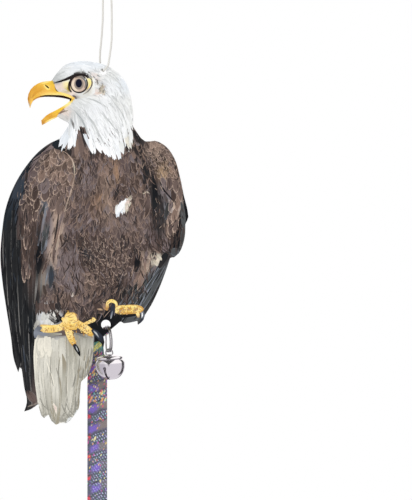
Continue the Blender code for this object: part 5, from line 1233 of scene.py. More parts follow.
def evenly(points, step):
    """Points at even distances of about one step along a line."""
    lengths = [0.0]
    for start, end in zip(points, points[1:]):
        lengths.append(lengths[-1] + (end - start).length)
    count = max(2, round(lengths[-1] / step))
    even, index = [], 0
    for k in range(count + 1):
        want = lengths[-1] * k / count
        while index < len(points) - 2 and lengths[index + 1] < want:
            index += 1
        even.append(points[index].lerp(points[index + 1],
                                       (want - lengths[index]) / (lengths[index + 1] - lengths[index])))
    return even, lengths[-1]


def hanging_route():
    """Down the front strand, through the head hole and up the back strand."""
    hole = Vector(((HEAD_HOLE[0] - HANG_COLUMN) * MM, 0.0, (HANG_ROW - HEAD_HOLE[1]) * MM))
    bend_top = hole.z + SEAT + BEND_RADIUS
    top = -(LOOP_HEIGHT + KNOT_HEIGHT + KNOT_CLEARANCE)

    def strand(shares, side):
        return [Vector((share * STRAND_SPREAD, side * depth * BEND_RADIUS, top - fall * (top - bend_top)))
                for fall, share, depth in shares]
    bend = [Vector((hole.x + lean * BEND_LEAN, BEND_RADIUS * math.sin(math.radians(turn)),
                    bend_top - BEND_RADIUS * math.cos(math.radians(turn)))) for turn, lean in BEND]
    return smooth_curve(strand(FRONT_STRAND, -1) + bend + strand(BACK_STRAND, 1)[::-1], BEND_RADIUS / 4)


def loop_route():
    foot = -LOOP_HEIGHT + KNOT_CLEARANCE
    rising = [(CORD_DIAMETER / 2 + KNOT_CLEARANCE, 0, foot)]
    rising += [(wide * LOOP_WIDTH / 2, 0, left * foot) for wide, left in LOOP]
    falling = [(-x, y, z) for x, y, z in rising[::-1]]
    return smooth_curve(rising + [(0, 0, CORD_DIAMETER / 2)] + falling, CORD_DIAMETER / 2)


def frames_along(points, closed=False):
    """A direction and two sides at each point, turned as little as may be from one to the next."""
    count, frames = len(points), []
    side = None
    for i in range(count):
        before = points[i - 1] if (i or closed) else points[0]
        after = points[(i + 1) % count] if (i < count - 1 or closed) else points[-1]
        ahead = (after - before).normalized()
        if side is None:
            side = ahead.orthogonal().normalized()
        side = (side - ahead * side.dot(ahead)).normalized()
        frames.append((ahead, side, ahead.cross(side)))
    return frames


def twisted_cord(bm, points, radius, lay=0.0062, plies=3, sides=18, closed=False, taper=0.0, step_seed=0.0):
    """A laid cord of plies along the points: lobes that turn once in every lay, with closed ends."""
    frames = frames_along(points, closed)
    uv = bm.verts.layers.float_vector.get("strand") or bm.verts.layers.float_vector.new("strand")
    walked, rings = 0.0, []
    count = len(points)
    for i, (point, (ahead, side, up)) in enumerate(zip(points, frames)):
        if i:
            walked += (point - points[i - 1]).length
        spin = math.tau * walked / lay + step_seed
        near_end = min(i, count - 1 - i)
        thick = radius if closed or not taper else radius * min(1.0, 0.55 + near_end * taper)
        ring = bmesh.ops.create_circle(bm, segments=sides, radius=1.0)["verts"]
        for k, vert in enumerate(ring):
            turn = math.tau * k / sides
            lobe = 0.86 + 0.16 * abs(math.cos(plies * (turn - spin) / 2))
            reach = thick * lobe
            vert.co = point + side * (math.cos(turn) * reach) + up * (math.sin(turn) * reach)
            vert[uv] = (walked * 1000, plies * (turn - spin) / math.tau, step_seed)
        rings.append(ring)
    for i in range(count - (0 if closed else 1)):
        near, far = rings[i], rings[(i + 1) % count]
        for k in range(sides):
            bm.faces.new((near[k], near[(k + 1) % sides], far[(k + 1) % sides], far[k]))
    if not closed:
        bm.faces.new(rings[0][::-1])
        bm.faces.new(rings[-1])


def cord_material():
    """Undyed cotton: fine yarns along each ply, fuzz, and painted shade in the grooves between the plies."""
    material, nodes, shader = new_material("cotton cord", roughness=0.92, Sheen_Weight=0.25, Sheen_Roughness=0.5,
                                           Specular_IOR_Level=0.2)
    strand = nodes.add("Attribute", attribute_name="strand").outputs["Vector"]
    place = object_place(nodes)
    parts = nodes.add("SeparateXYZ", {0: strand}).outputs
    ply = nodes.math("ABSOLUTE", nodes.math("SUBTRACT", nodes.math("FRACT", nodes.math("ADD", parts[1], 100.5)), 0.5))
    crease = nodes.ramp(ply, 0.3, 0.5)
    yarn = nodes.noise(nodes.add("CombineXYZ", {0: nodes.math("MULTIPLY", parts[0], 0.8),
                                                1: nodes.math("MULTIPLY", parts[1], 9.0), 2: parts[2]}).outputs[0],
                       1.0, 3.0, 0.6)
    fuzz = nodes.noise(place, 2600.0, 3.0, 0.7)
    drift = nodes.noise(place, 60.0, 3.0, 0.5)
    pale, dim = (0.76, 0.745, 0.71, 1), (0.55, 0.535, 0.5, 1)
    colour = nodes.mix(yarn, dim, pale)
    # painted shade: the colour is darkened in the grooves between the plies
    colour = nodes.mix(nodes.math("MULTIPLY", crease, 0.55), colour, (0.4, 0.385, 0.35, 1))
    colour = nodes.mix(nodes.math("MULTIPLY", drift, 0.25), colour, (0.85, 0.84, 0.8, 1))
    nodes.tree.links.new(colour, shader.inputs["Base Color"])
    height = nodes.math("ADD", nodes.math("MULTIPLY", yarn, 0.8), nodes.math("MULTIPLY", fuzz, 0.5))
    nodes.tree.links.new(nodes.bump(height, 0.5, 0.00012), shader.inputs["Normal"])
    return material


def make_cords(material):
    for name, route, node, body, step in (("cord_strands", hanging_route(), "hanging_cord", "cord", 0.0005),
                                          ("cord_hang_loop", loop_route(), "hang_loop", "hanger", 0.0005)):
        points, length = evenly(route, step)
        bm = bmesh.new()
        twisted_cord(bm, points, CORD_DIAMETER / 2)
        bmesh.ops.recalc_face_normals(bm, faces=bm.faces)
        cord = new_mesh_object(name, bm, body, material)
        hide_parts(node)
        print(f"{name}: {length * 1000:.1f} mm long")


def make_knot(material):
    """An overhand knot: wraps of laid cord over a core of crossing strands, and two cut ends with loose yarns."""
    centre = Vector((0.0, 0.0, -LOOP_HEIGHT - KNOT_HEIGHT / 2))
    bm = bmesh.new()
    wide = KNOT_WIDTH / 2 - CORD_DIAMETER / 2
    for lean, lift, deep in ((0.56, 0.0009, 0.96), (-0.56, -0.0009, 0.96), (0.3, -0.0022, 0.8), (-0.3, 0.0022, 0.8)):
        ring = []
        for k in range(52):
            turn = math.tau * k / 52
            flat = Vector((wide * deep * math.cos(turn), wide * deep * math.sin(turn) * 0.94, 0.0))
            ring.append(centre + Matrix.Rotation(lean, 3, "Y") @ flat + Vector((0, 0, lift)))
        twisted_cord(bm, ring, CORD_DIAMETER / 2, closed=True, step_seed=lean * 3)
    for side in (-1, 1):
        for depth in (-1, 1):
            start = centre + Vector((side * 0.0011, depth * 0.0012, KNOT_HEIGHT / 2 - 0.0002))
            middle = centre + Vector((-side * depth * 0.001, depth * 0.002, 0.0))
            end = centre + Vector((side * 0.0009, depth * 0.0008, -KNOT_HEIGHT / 2 + 0.0002))
            points, _ = evenly(smooth_curve([start, middle, end], 0.0005), 0.0005)
            twisted_cord(bm, points, CORD_DIAMETER / 2 * 0.95, step_seed=side + depth)
    for side in (-1, 1):
        start = centre + Vector((side * 0.001, side * CORD_DIAMETER / 2, 0.0006))
        middle = centre + Vector((side * (KNOT_WIDTH / 2 + 0.35 * KNOT_TAIL), side * CORD_DIAMETER * 0.9, 0.0002))
        end = centre + Vector((side * (KNOT_WIDTH / 2 + 0.8 * KNOT_TAIL), side * CORD_DIAMETER, -0.25 * KNOT_TAIL))
        points, _ = evenly(smooth_curve([start, middle, end], 0.0005), 0.0005)
        twisted_cord(bm, points, CORD_DIAMETER / 2, step_seed=side)
        chance = random.Random(5 + side)
        ahead = (points[-1] - points[-2]).normalized()
        for _ in range(13):
            aim = (ahead + Vector([chance.uniform(-0.45, 0.45) for _ in range(3)])).normalized()
            root = points[-1] - ahead * 0.0006 + Vector([chance.uniform(-0.0006, 0.0006) for _ in range(3)])
            tip = root + aim * chance.uniform(0.0016, 0.0028)
            bend = (root + tip) / 2 + Vector((0, 0, chance.uniform(-0.0003, 0.0003)))
            yarn, _ = evenly(smooth_curve([root, bend, tip], 0.0004), 0.0005)
            twisted_cord(bm, yarn, 0.00022, sides=6, step_seed=chance.random())
    bmesh.ops.recalc_face_normals(bm, faces=bm.faces)
    knot = new_mesh_object("cord_overhand_knot", bm, "hanger", material)
    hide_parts("cord_knot")


# The ring, the bell and the ribbon's knot, as the model has them
WIRE_WIDTH, WIRE_THICKNESS, TURN_GAP, RING_RADIUS = 0.0020, 0.0013, 0.00045, 0.0125
STEP_OVER, END_GAP, JOIN_ANGLE = math.radians(50), math.radians(16), math.radians(118)
BELL_RADIUS, BELL_RIM, BELL_WALL, CAP_RADIUS, CAP_HEIGHT, CAP_LIP = 0.0147, 0.0126, 0.0006, 0.0133, 0.0050, 0.0008
SHOULDER, BOWL_DEPTH, BOWL_ROUNDNESS = 0.0047, 0.0160, 2.3
DOME_TOP = math.hypot(WIRE_THICKNESS + TURN_GAP / 2, WIRE_WIDTH / 2) + 0.0006
BOWL_TOP = DOME_TOP + CAP_HEIGHT + 0.0003
EQUATOR = BOWL_TOP + SHOULDER
SLOT_WIDTH, SLOT_HOLE, SLOT_TOP, SLOT_TURN = 0.0022, 0.0017, 0.25, math.radians(53)
EYE_WIRE, EYE_HALF, EYE_RISE, EYE_FOOT = 0.0014, WIRE_THICKNESS + TURN_GAP / 2 + 0.0019, 0.0024, 0.0026


def swing_frame(joint_name):
    """The ring's or the bell's own frame: its hinge runs along -Y and the pea's slide along +Z."""
    up = Vector(JOINTS["pea_rattle"]["axis"]).normalized()
    back = -Vector(JOINTS["bell_swing"]["axis"]).normalized()
    across = back.cross(up).normalized()
    turn = Matrix((across, back, up)).transposed().to_4x4()
    return Matrix.Translation(Vector(JOINTS[joint_name]["pos_m"])) @ turn


def settle(bm, matrix):
    bmesh.ops.transform(bm, matrix=matrix, verts=bm.verts)
    bmesh.ops.recalc_face_normals(bm, faces=bm.faces)


def make_ring(material, steps):
    """Rounded flat wire in two turns side by side, which step over each other between their two ends."""
    bm = bmesh.new()
    made = bmesh.ops.create_circle(bm, cap_ends=True, segments=20, radius=1.0)["verts"]
    start = -(WIRE_THICKNESS + TURN_GAP) / 2
    for vert in made:
        x, y = vert.co.x, vert.co.y
        vert.co = (start + math.copysign(abs(x) ** 0.5, x) * WIRE_THICKNESS / 2, 0.0,
                   math.copysign(abs(y) ** 0.5, y) * WIRE_WIDTH / 2)
    flat = math.tau - STEP_OVER - END_GAP
    centre = Vector((0, 0, -RING_RADIUS))
    bmesh.ops.rotate(bm, cent=centre, matrix=Matrix.Rotation(-JOIN_ANGLE - STEP_OVER / 2 - flat, 3, "X"), verts=made)
    ends = bm.faces[:] + bm.edges[:] + made
    for angle, drift in ((flat, 0.0), (STEP_OVER, WIRE_THICKNESS + TURN_GAP), (flat, 0.0)):
        count = round(steps * angle / math.tau)
        ends = bmesh.ops.spin(bm, geom=ends, cent=centre, axis=(1, 0, 0), dvec=(drift / count, 0, 0), angle=angle,
                              steps=count, use_merge=False)["geom_last"]
    settle(bm, swing_frame("ring_swing"))
    ring = new_mesh_object("two_turn_ring", bm, "ring", material)
    ring.data.set_sharp_from_angle(angle=math.radians(50))
    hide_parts("split_ring")


def turned(profile, facets):
    """A line of (radius, height) points turned about the bell's axis."""
    bm = bmesh.new()
    corners = [bm.verts.new((radius, 0.0, height)) for radius, height in profile]
    edges = [bm.edges.new(pair) for pair in zip(corners, corners[1:])]
    if profile[0][0] > 1e-6 or profile[-1][0] > 1e-6:
        edges.append(bm.edges.new((corners[-1], corners[0])))
    bmesh.ops.spin(bm, geom=corners + edges, cent=(0, 0, 0), axis=(0, 0, 1), dvec=(0, 0, 0), angle=math.tau,
                   steps=facets, use_merge=True)
    bmesh.ops.remove_doubles(bm, verts=bm.verts, dist=BELL_WALL / 200)
    return bm


def cut(obj, cutters):
    """Cut the shapes out of the object for good."""
    for cutter in cutters:
        modifier = obj.modifiers.new("cut", "BOOLEAN")
        modifier.operation, modifier.solver, modifier.object = "DIFFERENCE", "EXACT", cutter
    bpy.context.view_layer.update()
    ready = obj.evaluated_get(bpy.context.evaluated_depsgraph_get())
    mesh = bpy.data.meshes.new_from_object(ready)
    obj.modifiers.clear()
    old, obj.data = obj.data, mesh
    bpy.data.meshes.remove(old)
    for cutter in cutters:
        bpy.data.objects.remove(cutter)
    obj.data.shade_smooth()
    obj.data.set_sharp_from_angle(angle=math.radians(38))


def cutter(bm, matrix):
    bmesh.ops.transform(bm, matrix=matrix, verts=bm.verts)
    mesh = bpy.data.meshes.new("cutter")
    bm.to_mesh(mesh)
    bm.free()
    obj = bpy.data.objects.new("cutter", mesh)
    bpy.context.scene.collection.objects.link(obj)
    return obj


def rod_cutter(radius, length, matrix):
    bm = bmesh.new()
    bmesh.ops.create_cone(bm, cap_ends=True, segments=32, radius1=radius, radius2=radius, depth=length)
    return cutter(bm, matrix)


def cap_line(inset, steps):
    radius, rise = CAP_RADIUS - inset, CAP_HEIGHT - CAP_LIP - inset
    foot = -DOME_TOP - CAP_HEIGHT + CAP_LIP
    return [(radius * math.sin(turn), foot + rise * math.cos(turn))
            for turn in (math.pi / 2 * k / steps for k in range(steps + 1))]


def bowl_line(inset, steps):
    line = []
    taper = 1 - (BELL_RIM / BELL_RADIUS) ** 2
    for k in range(steps):
        depth = SHOULDER * k / steps
        rise = (SHOULDER - depth) / SHOULDER
        line.append((BELL_RADIUS * math.sqrt(1 - taper * rise ** 2) - inset, -BOWL_TOP - depth))
    for k in range(2 * steps + 1):
        turn = math.pi / 2 * k / (2 * steps)
        radius = (BELL_RADIUS - inset) * math.cos(turn) ** (2 / BOWL_ROUNDNESS)
        height = (BOWL_DEPTH - inset) * math.sin(turn) ** (2 / BOWL_ROUNDNESS)
        line.append((radius if k < 2 * steps else 0.0, -EQUATOR - height))
    return line


def make_bell(material, facets):
    """Two pressed shells: the cap with its rolled lip and the eye's holes, the bowl with its crossed slots."""
    place = swing_frame("bell_swing")
    foot = -DOME_TOP - CAP_HEIGHT
    lip = [(CAP_RADIUS + 0.00012, foot + CAP_LIP * 0.6), (CAP_RADIUS + 0.00016, foot + CAP_LIP * 0.3),
           (CAP_RADIUS + 0.00006, foot + 0.00006), (CAP_RADIUS - BELL_WALL * 0.4, foot), (CAP_RADIUS - BELL_WALL, foot + 0.0001)]
    bm = turned(cap_line(0.0, 18) + lip + cap_line(BELL_WALL, 14)[::-1], facets)
    settle(bm, place)
    cap = new_mesh_object("bell_cap_shell", bm, "bell", material)
    cut(cap, [rod_cutter(EYE_WIRE / 2 + 0.0003, CAP_HEIGHT,
                         place @ Matrix.Translation((side * EYE_HALF, 0, -DOME_TOP - BELL_WALL / 2)))
              for side in (-1, 1)])
    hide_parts("bell_cap")

    rim = [(BELL_RIM - BELL_WALL * 0.7, -BOWL_TOP + 0.00008), (BELL_RIM - BELL_WALL * 0.3, -BOWL_TOP + 0.00008)]
    bm = turned(bowl_line(BELL_WALL, 12)[::-1] + rim + bowl_line(0.0, 14), facets)
    settle(bm, place)
    bowl = new_mesh_object("bell_bowl_shell", bm, "bell", material)
    top = -EQUATOR - SLOT_TOP * BOWL_DEPTH
    span, drop = 2 * (BELL_RADIUS + 0.002), EQUATOR + BOWL_DEPTH + 0.002 + top
    tools = []
    for turn in (SLOT_TURN, SLOT_TURN + math.pi / 2):
        aim = Matrix.Rotation(turn - math.pi / 2, 4, "Z")
        bm = bmesh.new()
        bmesh.ops.create_cube(bm, size=1.0)
        bmesh.ops.scale(bm, verts=bm.verts, vec=(span, SLOT_WIDTH, drop))
        tools.append(cutter(bm, place @ Matrix.Translation((0, 0, top - drop / 2)) @ aim))
        tools.append(rod_cutter(SLOT_HOLE, span, place @ Matrix.Translation((0, 0, top)) @ aim
                                @ Matrix.Rotation(math.pi / 2, 4, "Y")))
    cut(bowl, tools)
    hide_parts("bell_bowl")


def make_bell_eye(material):
    """A wire staple round the ring, its feet bent out under the cap."""
    drop = (CAP_HEIGHT - CAP_LIP) * (1 - math.sqrt(1 - ((EYE_HALF + EYE_FOOT + EYE_WIRE) / CAP_RADIUS) ** 2))
    low = -DOME_TOP - BELL_WALL - drop - 0.0003 - EYE_WIRE / 2
    turn = 0.6 * EYE_WIRE
    points = [(EYE_HALF + EYE_FOOT, 0, low), (EYE_HALF + turn, 0, low), (EYE_HALF, 0, low + turn),
              (EYE_HALF, 0, -DOME_TOP), (EYE_HALF, 0, EYE_RISE - EYE_HALF)]
    arch = [(EYE_HALF * math.cos(a), 0, EYE_RISE - EYE_HALF + EYE_HALF * math.sin(a))
            for a in (math.pi * k / 10 for k in range(1, 10))]
    line = smooth_curve(points + arch + [(-x, y, z) for x, y, z in points[::-1]], 0.0003)
    line, _ = evenly(line, 0.0003)
    bm = bmesh.new()
    frames, rings = frames_along(line), []
    for i, (point, (_, side, up)) in enumerate(zip(line, frames)):
        near_end = min(i, len(line) - 1 - i)
        thick = EYE_WIRE / 2 * (0.8 if near_end == 0 else 1.0)
        ring = bmesh.ops.create_circle(bm, segments=20, radius=1.0)["verts"]
        for k, vert in enumerate(ring):
            vert.co = point + (side * math.cos(math.tau * k / 20) + up * math.sin(math.tau * k / 20)) * thick
        rings.append(ring)
    for near, far in zip(rings, rings[1:]):
        for k in range(20):
            bm.faces.new((near[k], near[(k + 1) % 20], far[(k + 1) % 20], far[k]))
    bm.faces.new(rings[0][::-1])
    bm.faces.new(rings[-1])
    settle(bm, swing_frame("bell_swing"))
    eye = new_mesh_object("bell_eye_staple", bm, "bell", material)
    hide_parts("bell_eye")


def metal_material(name, wear, colour, roughness, dim, drift, ripple):
    """Plated or drawn metal: a slow drift of polish, smudges, hairline scuffs and the press's faint ripple."""
    material, nodes, shader = new_material(name, colour, roughness, 1.0)
    place = object_place(nodes)
    tone, fine, marks = use_wear(nodes, wear, place, drift, 1400.0, 240.0)
    worn = nodes.mix(nodes.math("MULTIPLY", tone, 0.5), (*colour, 1), tuple(c * dim for c in colour) + (1,))
    worn = nodes.mix(nodes.math("MULTIPLY", marks, 0.3), worn, (0.92, 0.92, 0.92, 1))
    nodes.tree.links.new(worn, shader.inputs["Base Color"])
    rough = nodes.math("ADD", roughness, nodes.math("MULTIPLY", nodes.math("SUBTRACT", tone, 0.45), 0.12))
    rough = nodes.math("ADD", rough, nodes.math("MULTIPLY", marks, 0.12))
    nodes.tree.links.new(nodes.math("MAXIMUM", rough, 0.04), shader.inputs["Roughness"])
    wave = nodes.noise(place, ripple, 2.0, 0.4)
    height = nodes.math("ADD", wave, nodes.math("MULTIPLY", fine, 0.02))
    nodes.tree.links.new(nodes.bump(height, 0.25, 0.0003), shader.inputs["Normal"])
    return material


# The ribbon and its knot
RIBBON_WIDTH, RIBBON_LENGTH, RIBBON_THICKNESS = 0.0198, 0.2520, 0.00025
NECK_WIDTH, PLEAT, PLEATS, PLEAT_FADE, OPEN_LENGTH, FLARE = 0.0070, 0.00095, 2.5, 1.5, 0.0420, 1.3
BOW_LENGTH, RIBBON_GAP, WAVE, WAVES, RIBBON_COLUMN = 0.0260, 0.0016, 0.0012, 1.5, 96.9
KNOT_ANGLE, BAND_LENGTH, BAND_BORE, BAND_WALL = math.radians(52), 0.0064, 0.0022, 0.0015
LUMP, LUMP_STRETCH, KNOT_ASIDE, KNOT_BACK, THROAT_LENGTH, THROAT_DEPTH = 0.0038, 1.5, 0.0066, 0.0044, 0.0052, 0.0028


def ease(share):
    share = min(1.0, max(0.0, share))
    return share * share * (3 - 2 * share)


def make_ribbon(material):
    """The hanging film: pleated at its throat, bowed out behind the bell, then flat with soft creases."""
    neck = Vector(JOINTS["ribbon_swing"]["pos_m"])
    bm = bmesh.new()
    film = bm.verts.layers.float_vector.new("film")
    bmesh.ops.create_grid(bm, x_segments=36, y_segments=380, size=1.0)
    chance = random.Random(8)
    creases = [(chance.uniform(0.02, 0.25), chance.uniform(-0.9, 0.9), chance.uniform(-0.5, 0.5)) for _ in range(26)]
    for vert in bm.verts:
        side, fall = vert.co.x, (1 - vert.co.y) / 2 * RIBBON_LENGTH
        opened = min(1.0, fall / OPEN_LENGTH)
        half = (NECK_WIDTH + (RIBBON_WIDTH - NECK_WIDTH) * (1 - (1 - opened) ** FLARE)) / 2
        middle = ((RIBBON_COLUMN - HANG_COLUMN) * MM - neck.x) * ease(fall / BOW_LENGTH)
        bow = (BELL_RADIUS + RIBBON_GAP - neck.y) * ease(fall / BOW_LENGTH)
        pleat = PLEAT * (1 - opened) ** PLEAT_FADE * math.cos(math.pi * PLEATS * side)
        wave = WAVE * opened * (1 - math.cos(math.tau * WAVES * fall / RIBBON_LENGTH)) / 2
        crease = 0.0
        for at, where, slope in creases:
            off = (fall - at) * 1000 - slope * (side - where) * 6
            crease += math.exp(-(off / 0.8) ** 2 - ((side - where) / 0.6) ** 2) * 0.00016
        ripple = 0.00009 * math.sin(fall * 1000 * 0.55 + side * 2.2) * opened
        vert.co = neck + Vector((middle + half * side, bow + pleat + wave + crease + ripple, -fall))
        vert[film] = (side * RIBBON_WIDTH * 500, fall * 1000, 0.0)
    bmesh.ops.recalc_face_normals(bm, faces=bm.faces)
    ribbon = new_mesh_object("holographic_ribbon", bm, "ribbon", material)
    skin = ribbon.modifiers.new("film thickness", "SOLIDIFY")
    skin.thickness, skin.offset = RIBBON_THICKNESS, 0.0
    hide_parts("ribbon")


def make_ribbon_knot(material):
    """The tied end: a creased band round the ring's wire, a bunched lump beside it and the pleated throat."""
    place = swing_frame("ring_swing")
    bm = bmesh.new()
    film = bm.verts.layers.float_vector.new("film")
    centre = Vector((0.0, RING_RADIUS * math.sin(KNOT_ANGLE), RING_RADIUS * (math.cos(KNOT_ANGLE) - 1)))
    along = Matrix.Translation(centre) @ Matrix.Rotation(math.pi / 2 - KNOT_ANGLE, 4, "X")
    made = bmesh.ops.create_grid(bm, x_segments=64, y_segments=26, size=1.0)["verts"]
    for vert in made:
        turn, ring = vert.co.x * math.pi, vert.co.y * math.pi
        crease = 1 - 0.13 * abs(math.sin(2.5 * ring + 0.8 * math.sin(3 * turn))) - 0.05 * abs(math.sin(5 * turn))
        radius = BAND_BORE + BAND_WALL * (0.5 + 0.5 * math.cos(ring) * crease)
        height = BAND_LENGTH / 2 * math.sin(ring) * crease
        spot_ = along @ Vector((radius * math.cos(turn), radius * math.sin(turn), height))
        vert[film] = (turn * 2.8, ring * 3 + 40, 0.0)
        vert.co = spot_
    bmesh.ops.remove_doubles(bm, verts=made, dist=1e-6)
    lump_at = centre + Vector((-KNOT_ASIDE, KNOT_BACK, 0.0))
    made = bmesh.ops.create_uvsphere(bm, u_segments=64, v_segments=40, radius=1.0)["verts"]
    for vert in made:
        unit = vert.co.copy()
        turn = math.atan2(unit.z, unit.y)
        fold = 1 - 0.14 * abs(math.sin(3.5 * turn + 2.2 * unit.x)) - 0.08 * abs(math.sin(6 * unit.x + 2 * turn))
        vert[film] = (turn * 4, unit.x * 6 + 20, 0.0)
        vert.co = lump_at + Vector((unit.x * LUMP * LUMP_STRETCH, unit.y * LUMP * fold, unit.z * LUMP * fold))
    made = bmesh.ops.create_grid(bm, x_segments=72, y_segments=14, size=1.0)["verts"]
    for vert in made:
        turn, fall = vert.co.x * math.pi, vert.co.y
        fold = (1 - 0.16 * (0.5 + 0.5 * math.cos(9 * turn))) * (0.86 + 0.14 * fall ** 2)
        fold *= 0.0 if abs(fall) > 0.99 else 1.0
        vert[film] = (turn * 3, fall * 2.5 + 60, 0.0)
        vert.co = lump_at + Vector((math.cos(turn) * NECK_WIDTH / 2 * fold, math.sin(turn) * THROAT_DEPTH / 2 * fold,
                                    (max(-0.86, min(0.86, fall)) / 0.86 - 1) * THROAT_LENGTH / 2))
    bmesh.ops.remove_doubles(bm, verts=made, dist=1e-6)
    settle(bm, place)
    knot = new_mesh_object("ribbon_tied_end", bm, "ring", material)
    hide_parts("ribbon_knot")


def holo_material():
    """Holographic film: slant bands that repeat down it, violet and grey, with red spots, pale dashes, and shards and
    sparkle as painted glints.
    """
    material, nodes, shader = new_material("holographic film", roughness=0.34, metallic=0.25, Specular_IOR_Level=0.4)
    film = nodes.add("Attribute", attribute_name="film").outputs["Vector"]
    side, fall, _ = nodes.add("SeparateXYZ", {0: film}).outputs
    broad = nodes.noise(film, 0.11, 2.0, 0.5)
    patch = nodes.noise(film, 0.42, 3.0, 0.65)
    spark = nodes.noise(film, 1.6, 2.0, 0.7)
    slant = nodes.math("ADD", fall, nodes.math("MULTIPLY", side, 0.36))
    slant = nodes.math("ADD", slant, nodes.math("MULTIPLY", nodes.math("SUBTRACT", broad, 0.5), 7.0))
    phase = nodes.math("FRACT", nodes.math("ADD", nodes.math("DIVIDE", slant, 20.2), 0.065))
    rough_edge = nodes.math("ADD", phase, nodes.math("MULTIPLY", nodes.math("SUBTRACT", patch, 0.5), 0.45))
    rough_edge = nodes.math("ADD", rough_edge, nodes.math("MULTIPLY", nodes.math("SUBTRACT", spark, 0.5), 0.3))
    low = nodes.ramp(fall, 90.0, 135.0)

    def near(value, centre, inner, outer):
        return nodes.ramp(nodes.math("ABSOLUTE", nodes.math("SUBTRACT", value, centre)), outer, inner)

    colour = nodes.mix(nodes.ramp(patch, 0.4, 0.62), (0.085, 0.11, 0.12, 1), (0.15, 0.125, 0.22, 1))
    brown = nodes.math("MULTIPLY", near(rough_edge, 0.5, 0.14, 0.24), nodes.ramp(side, -2.5, 2.5))
    brown = nodes.math("MULTIPLY", brown, nodes.math("SUBTRACT", 1.0, nodes.math("MULTIPLY", low, 0.6)))
    colour = nodes.mix(nodes.math("MULTIPLY", brown, 0.9), colour, (0.24, 0.2, 0.19, 1))
    burst = nodes.math("MULTIPLY", near(rough_edge, 0.5, 0.1, 0.22),
                       near(nodes.math("SUBTRACT", side, nodes.math("MULTIPLY", low, 3.0)), -4.2, 2.0, 6.5))
    colour = nodes.mix(burst, colour, (0.2, 0.13, 0.5, 1))
    red = nodes.math("MULTIPLY", near(rough_edge, 0.87, 0.03, 0.14), nodes.ramp(side, -5.6, -7.6))
    colour = nodes.mix(red, colour, (0.66, 0.07, 0.1, 1))
    # pale dashes in rows along the bands
    row = nodes.math("FRACT", nodes.math("DIVIDE", slant, 2.9))
    dash = nodes.math("FRACT", nodes.math("DIVIDE", nodes.math("SUBTRACT", side, nodes.math("MULTIPLY", fall, 0.7)), 3.1))
    dash = nodes.math("MULTIPLY", near(row, 0.5, 0.16, 0.34), near(dash, 0.5, 0.08, 0.24))
    zone = nodes.math("MAXIMUM", nodes.ramp(nodes.math("ABSOLUTE", nodes.math("SUBTRACT", phase, 0.5)), 0.22, 0.32),
                      nodes.math("MULTIPLY", low, 0.75))
    zone = nodes.math("MULTIPLY", zone, nodes.ramp(side, -7.5, -3.0))
    dash = nodes.math("MULTIPLY", dash, nodes.math("MULTIPLY", zone, nodes.ramp(spark, 0.36, 0.52)))
    tint = nodes.mix(nodes.ramp(patch, 0.42, 0.58), (0.4, 0.66, 0.68, 1), (0.62, 0.6, 0.92, 1))
    colour = nodes.mix(dash, colour, tint)
    # dark lines between the bands
    line = near(phase, 0.24, 0.0, 0.03)
    line = nodes.math("MAXIMUM", line, near(phase, 0.76, 0.0, 0.03))
    colour = nodes.mix(nodes.math("MULTIPLY", line, 0.6), colour, (0.03, 0.033, 0.042, 1))
    # shards of every hue, painted glints, thick at the top and rare below
    lean = nodes.add("VectorRotate", {"Vector": film, "Angle": -0.45}, rotation_type="Z_AXIS").outputs[0]
    for scale, shift, most, least in ((0.26, 0.0, 0.26, 0.92), (0.5, 9.0, 0.5, 0.88)):
        place = nodes.add("VectorMath", {0: nodes.scaled(lean, (1.5, 0.62, 1.0)), 1: (shift, shift, 0)}, operation="ADD")
        cell = nodes.add("TexVoronoi", {"Vector": place.outputs[0], "Scale": scale, "Randomness": 0.9})
        picks = nodes.add("SeparateColor", {0: cell.outputs["Color"]}).outputs
        hue = nodes.add("ValToRGB", {0: picks[0]})
        stops = hue.color_ramp
        stops.interpolation = "CONSTANT"
        hues = [(0.0, (0.85, 0.62, 0.16)), (0.2, (0.9, 0.42, 0.16)), (0.36, (0.86, 0.8, 0.36)), (0.5, (0.75, 0.12, 0.2)),
                (0.62, (0.6, 0.08, 0.34)), (0.76, (0.16, 0.55, 0.5)), (0.86, (0.3, 0.18, 0.7))]
        while len(stops.elements) < len(hues):
            stops.elements.new(0.5)
        for element, (at, value) in zip(stops.elements, hues):
            element.position, element.color = at, (*value, 1)
        top = nodes.add("MapRange", {0: nodes.ramp(fall, 58.0, 76.0), 3: most, 4: least}).outputs[0]
        chance = nodes.math("ADD", picks[1], nodes.math("MULTIPLY", nodes.math("SUBTRACT", broad, 0.5), 0.6))
        lit = nodes.math("MULTIPLY", nodes.math("GREATER_THAN", chance, top), nodes.ramp(cell.outputs["Distance"], 0.5, 0.34))
        # painted glint: each shard's brightness is raised and lowered by the sparkle noise
        bright = nodes.add("MapRange", {0: spark, 3: 0.5, 4: 1.0}).outputs[0]
        colour = nodes.mix(nodes.math("MULTIPLY", lit, bright), colour, hue.outputs[0])
    # the throat's teal, and painted gold glints across it
    teal = nodes.ramp(fall, 17.0, 10.0)
    colour = nodes.mix(nodes.math("MULTIPLY", teal, nodes.ramp(spark, 0.3, 0.6)), colour, (0.15, 0.46, 0.42, 1))
    gold = near(nodes.math("ADD", fall, nodes.math("MULTIPLY", side, 0.5)), 8.0, 2.4, 4.4)
    gold = nodes.math("MULTIPLY", gold, nodes.ramp(nodes.noise(film, 0.6, 1.0, 0.5), 0.42, 0.47))
    colour = nodes.mix(gold, colour, (0.95, 0.86, 0.28, 1))
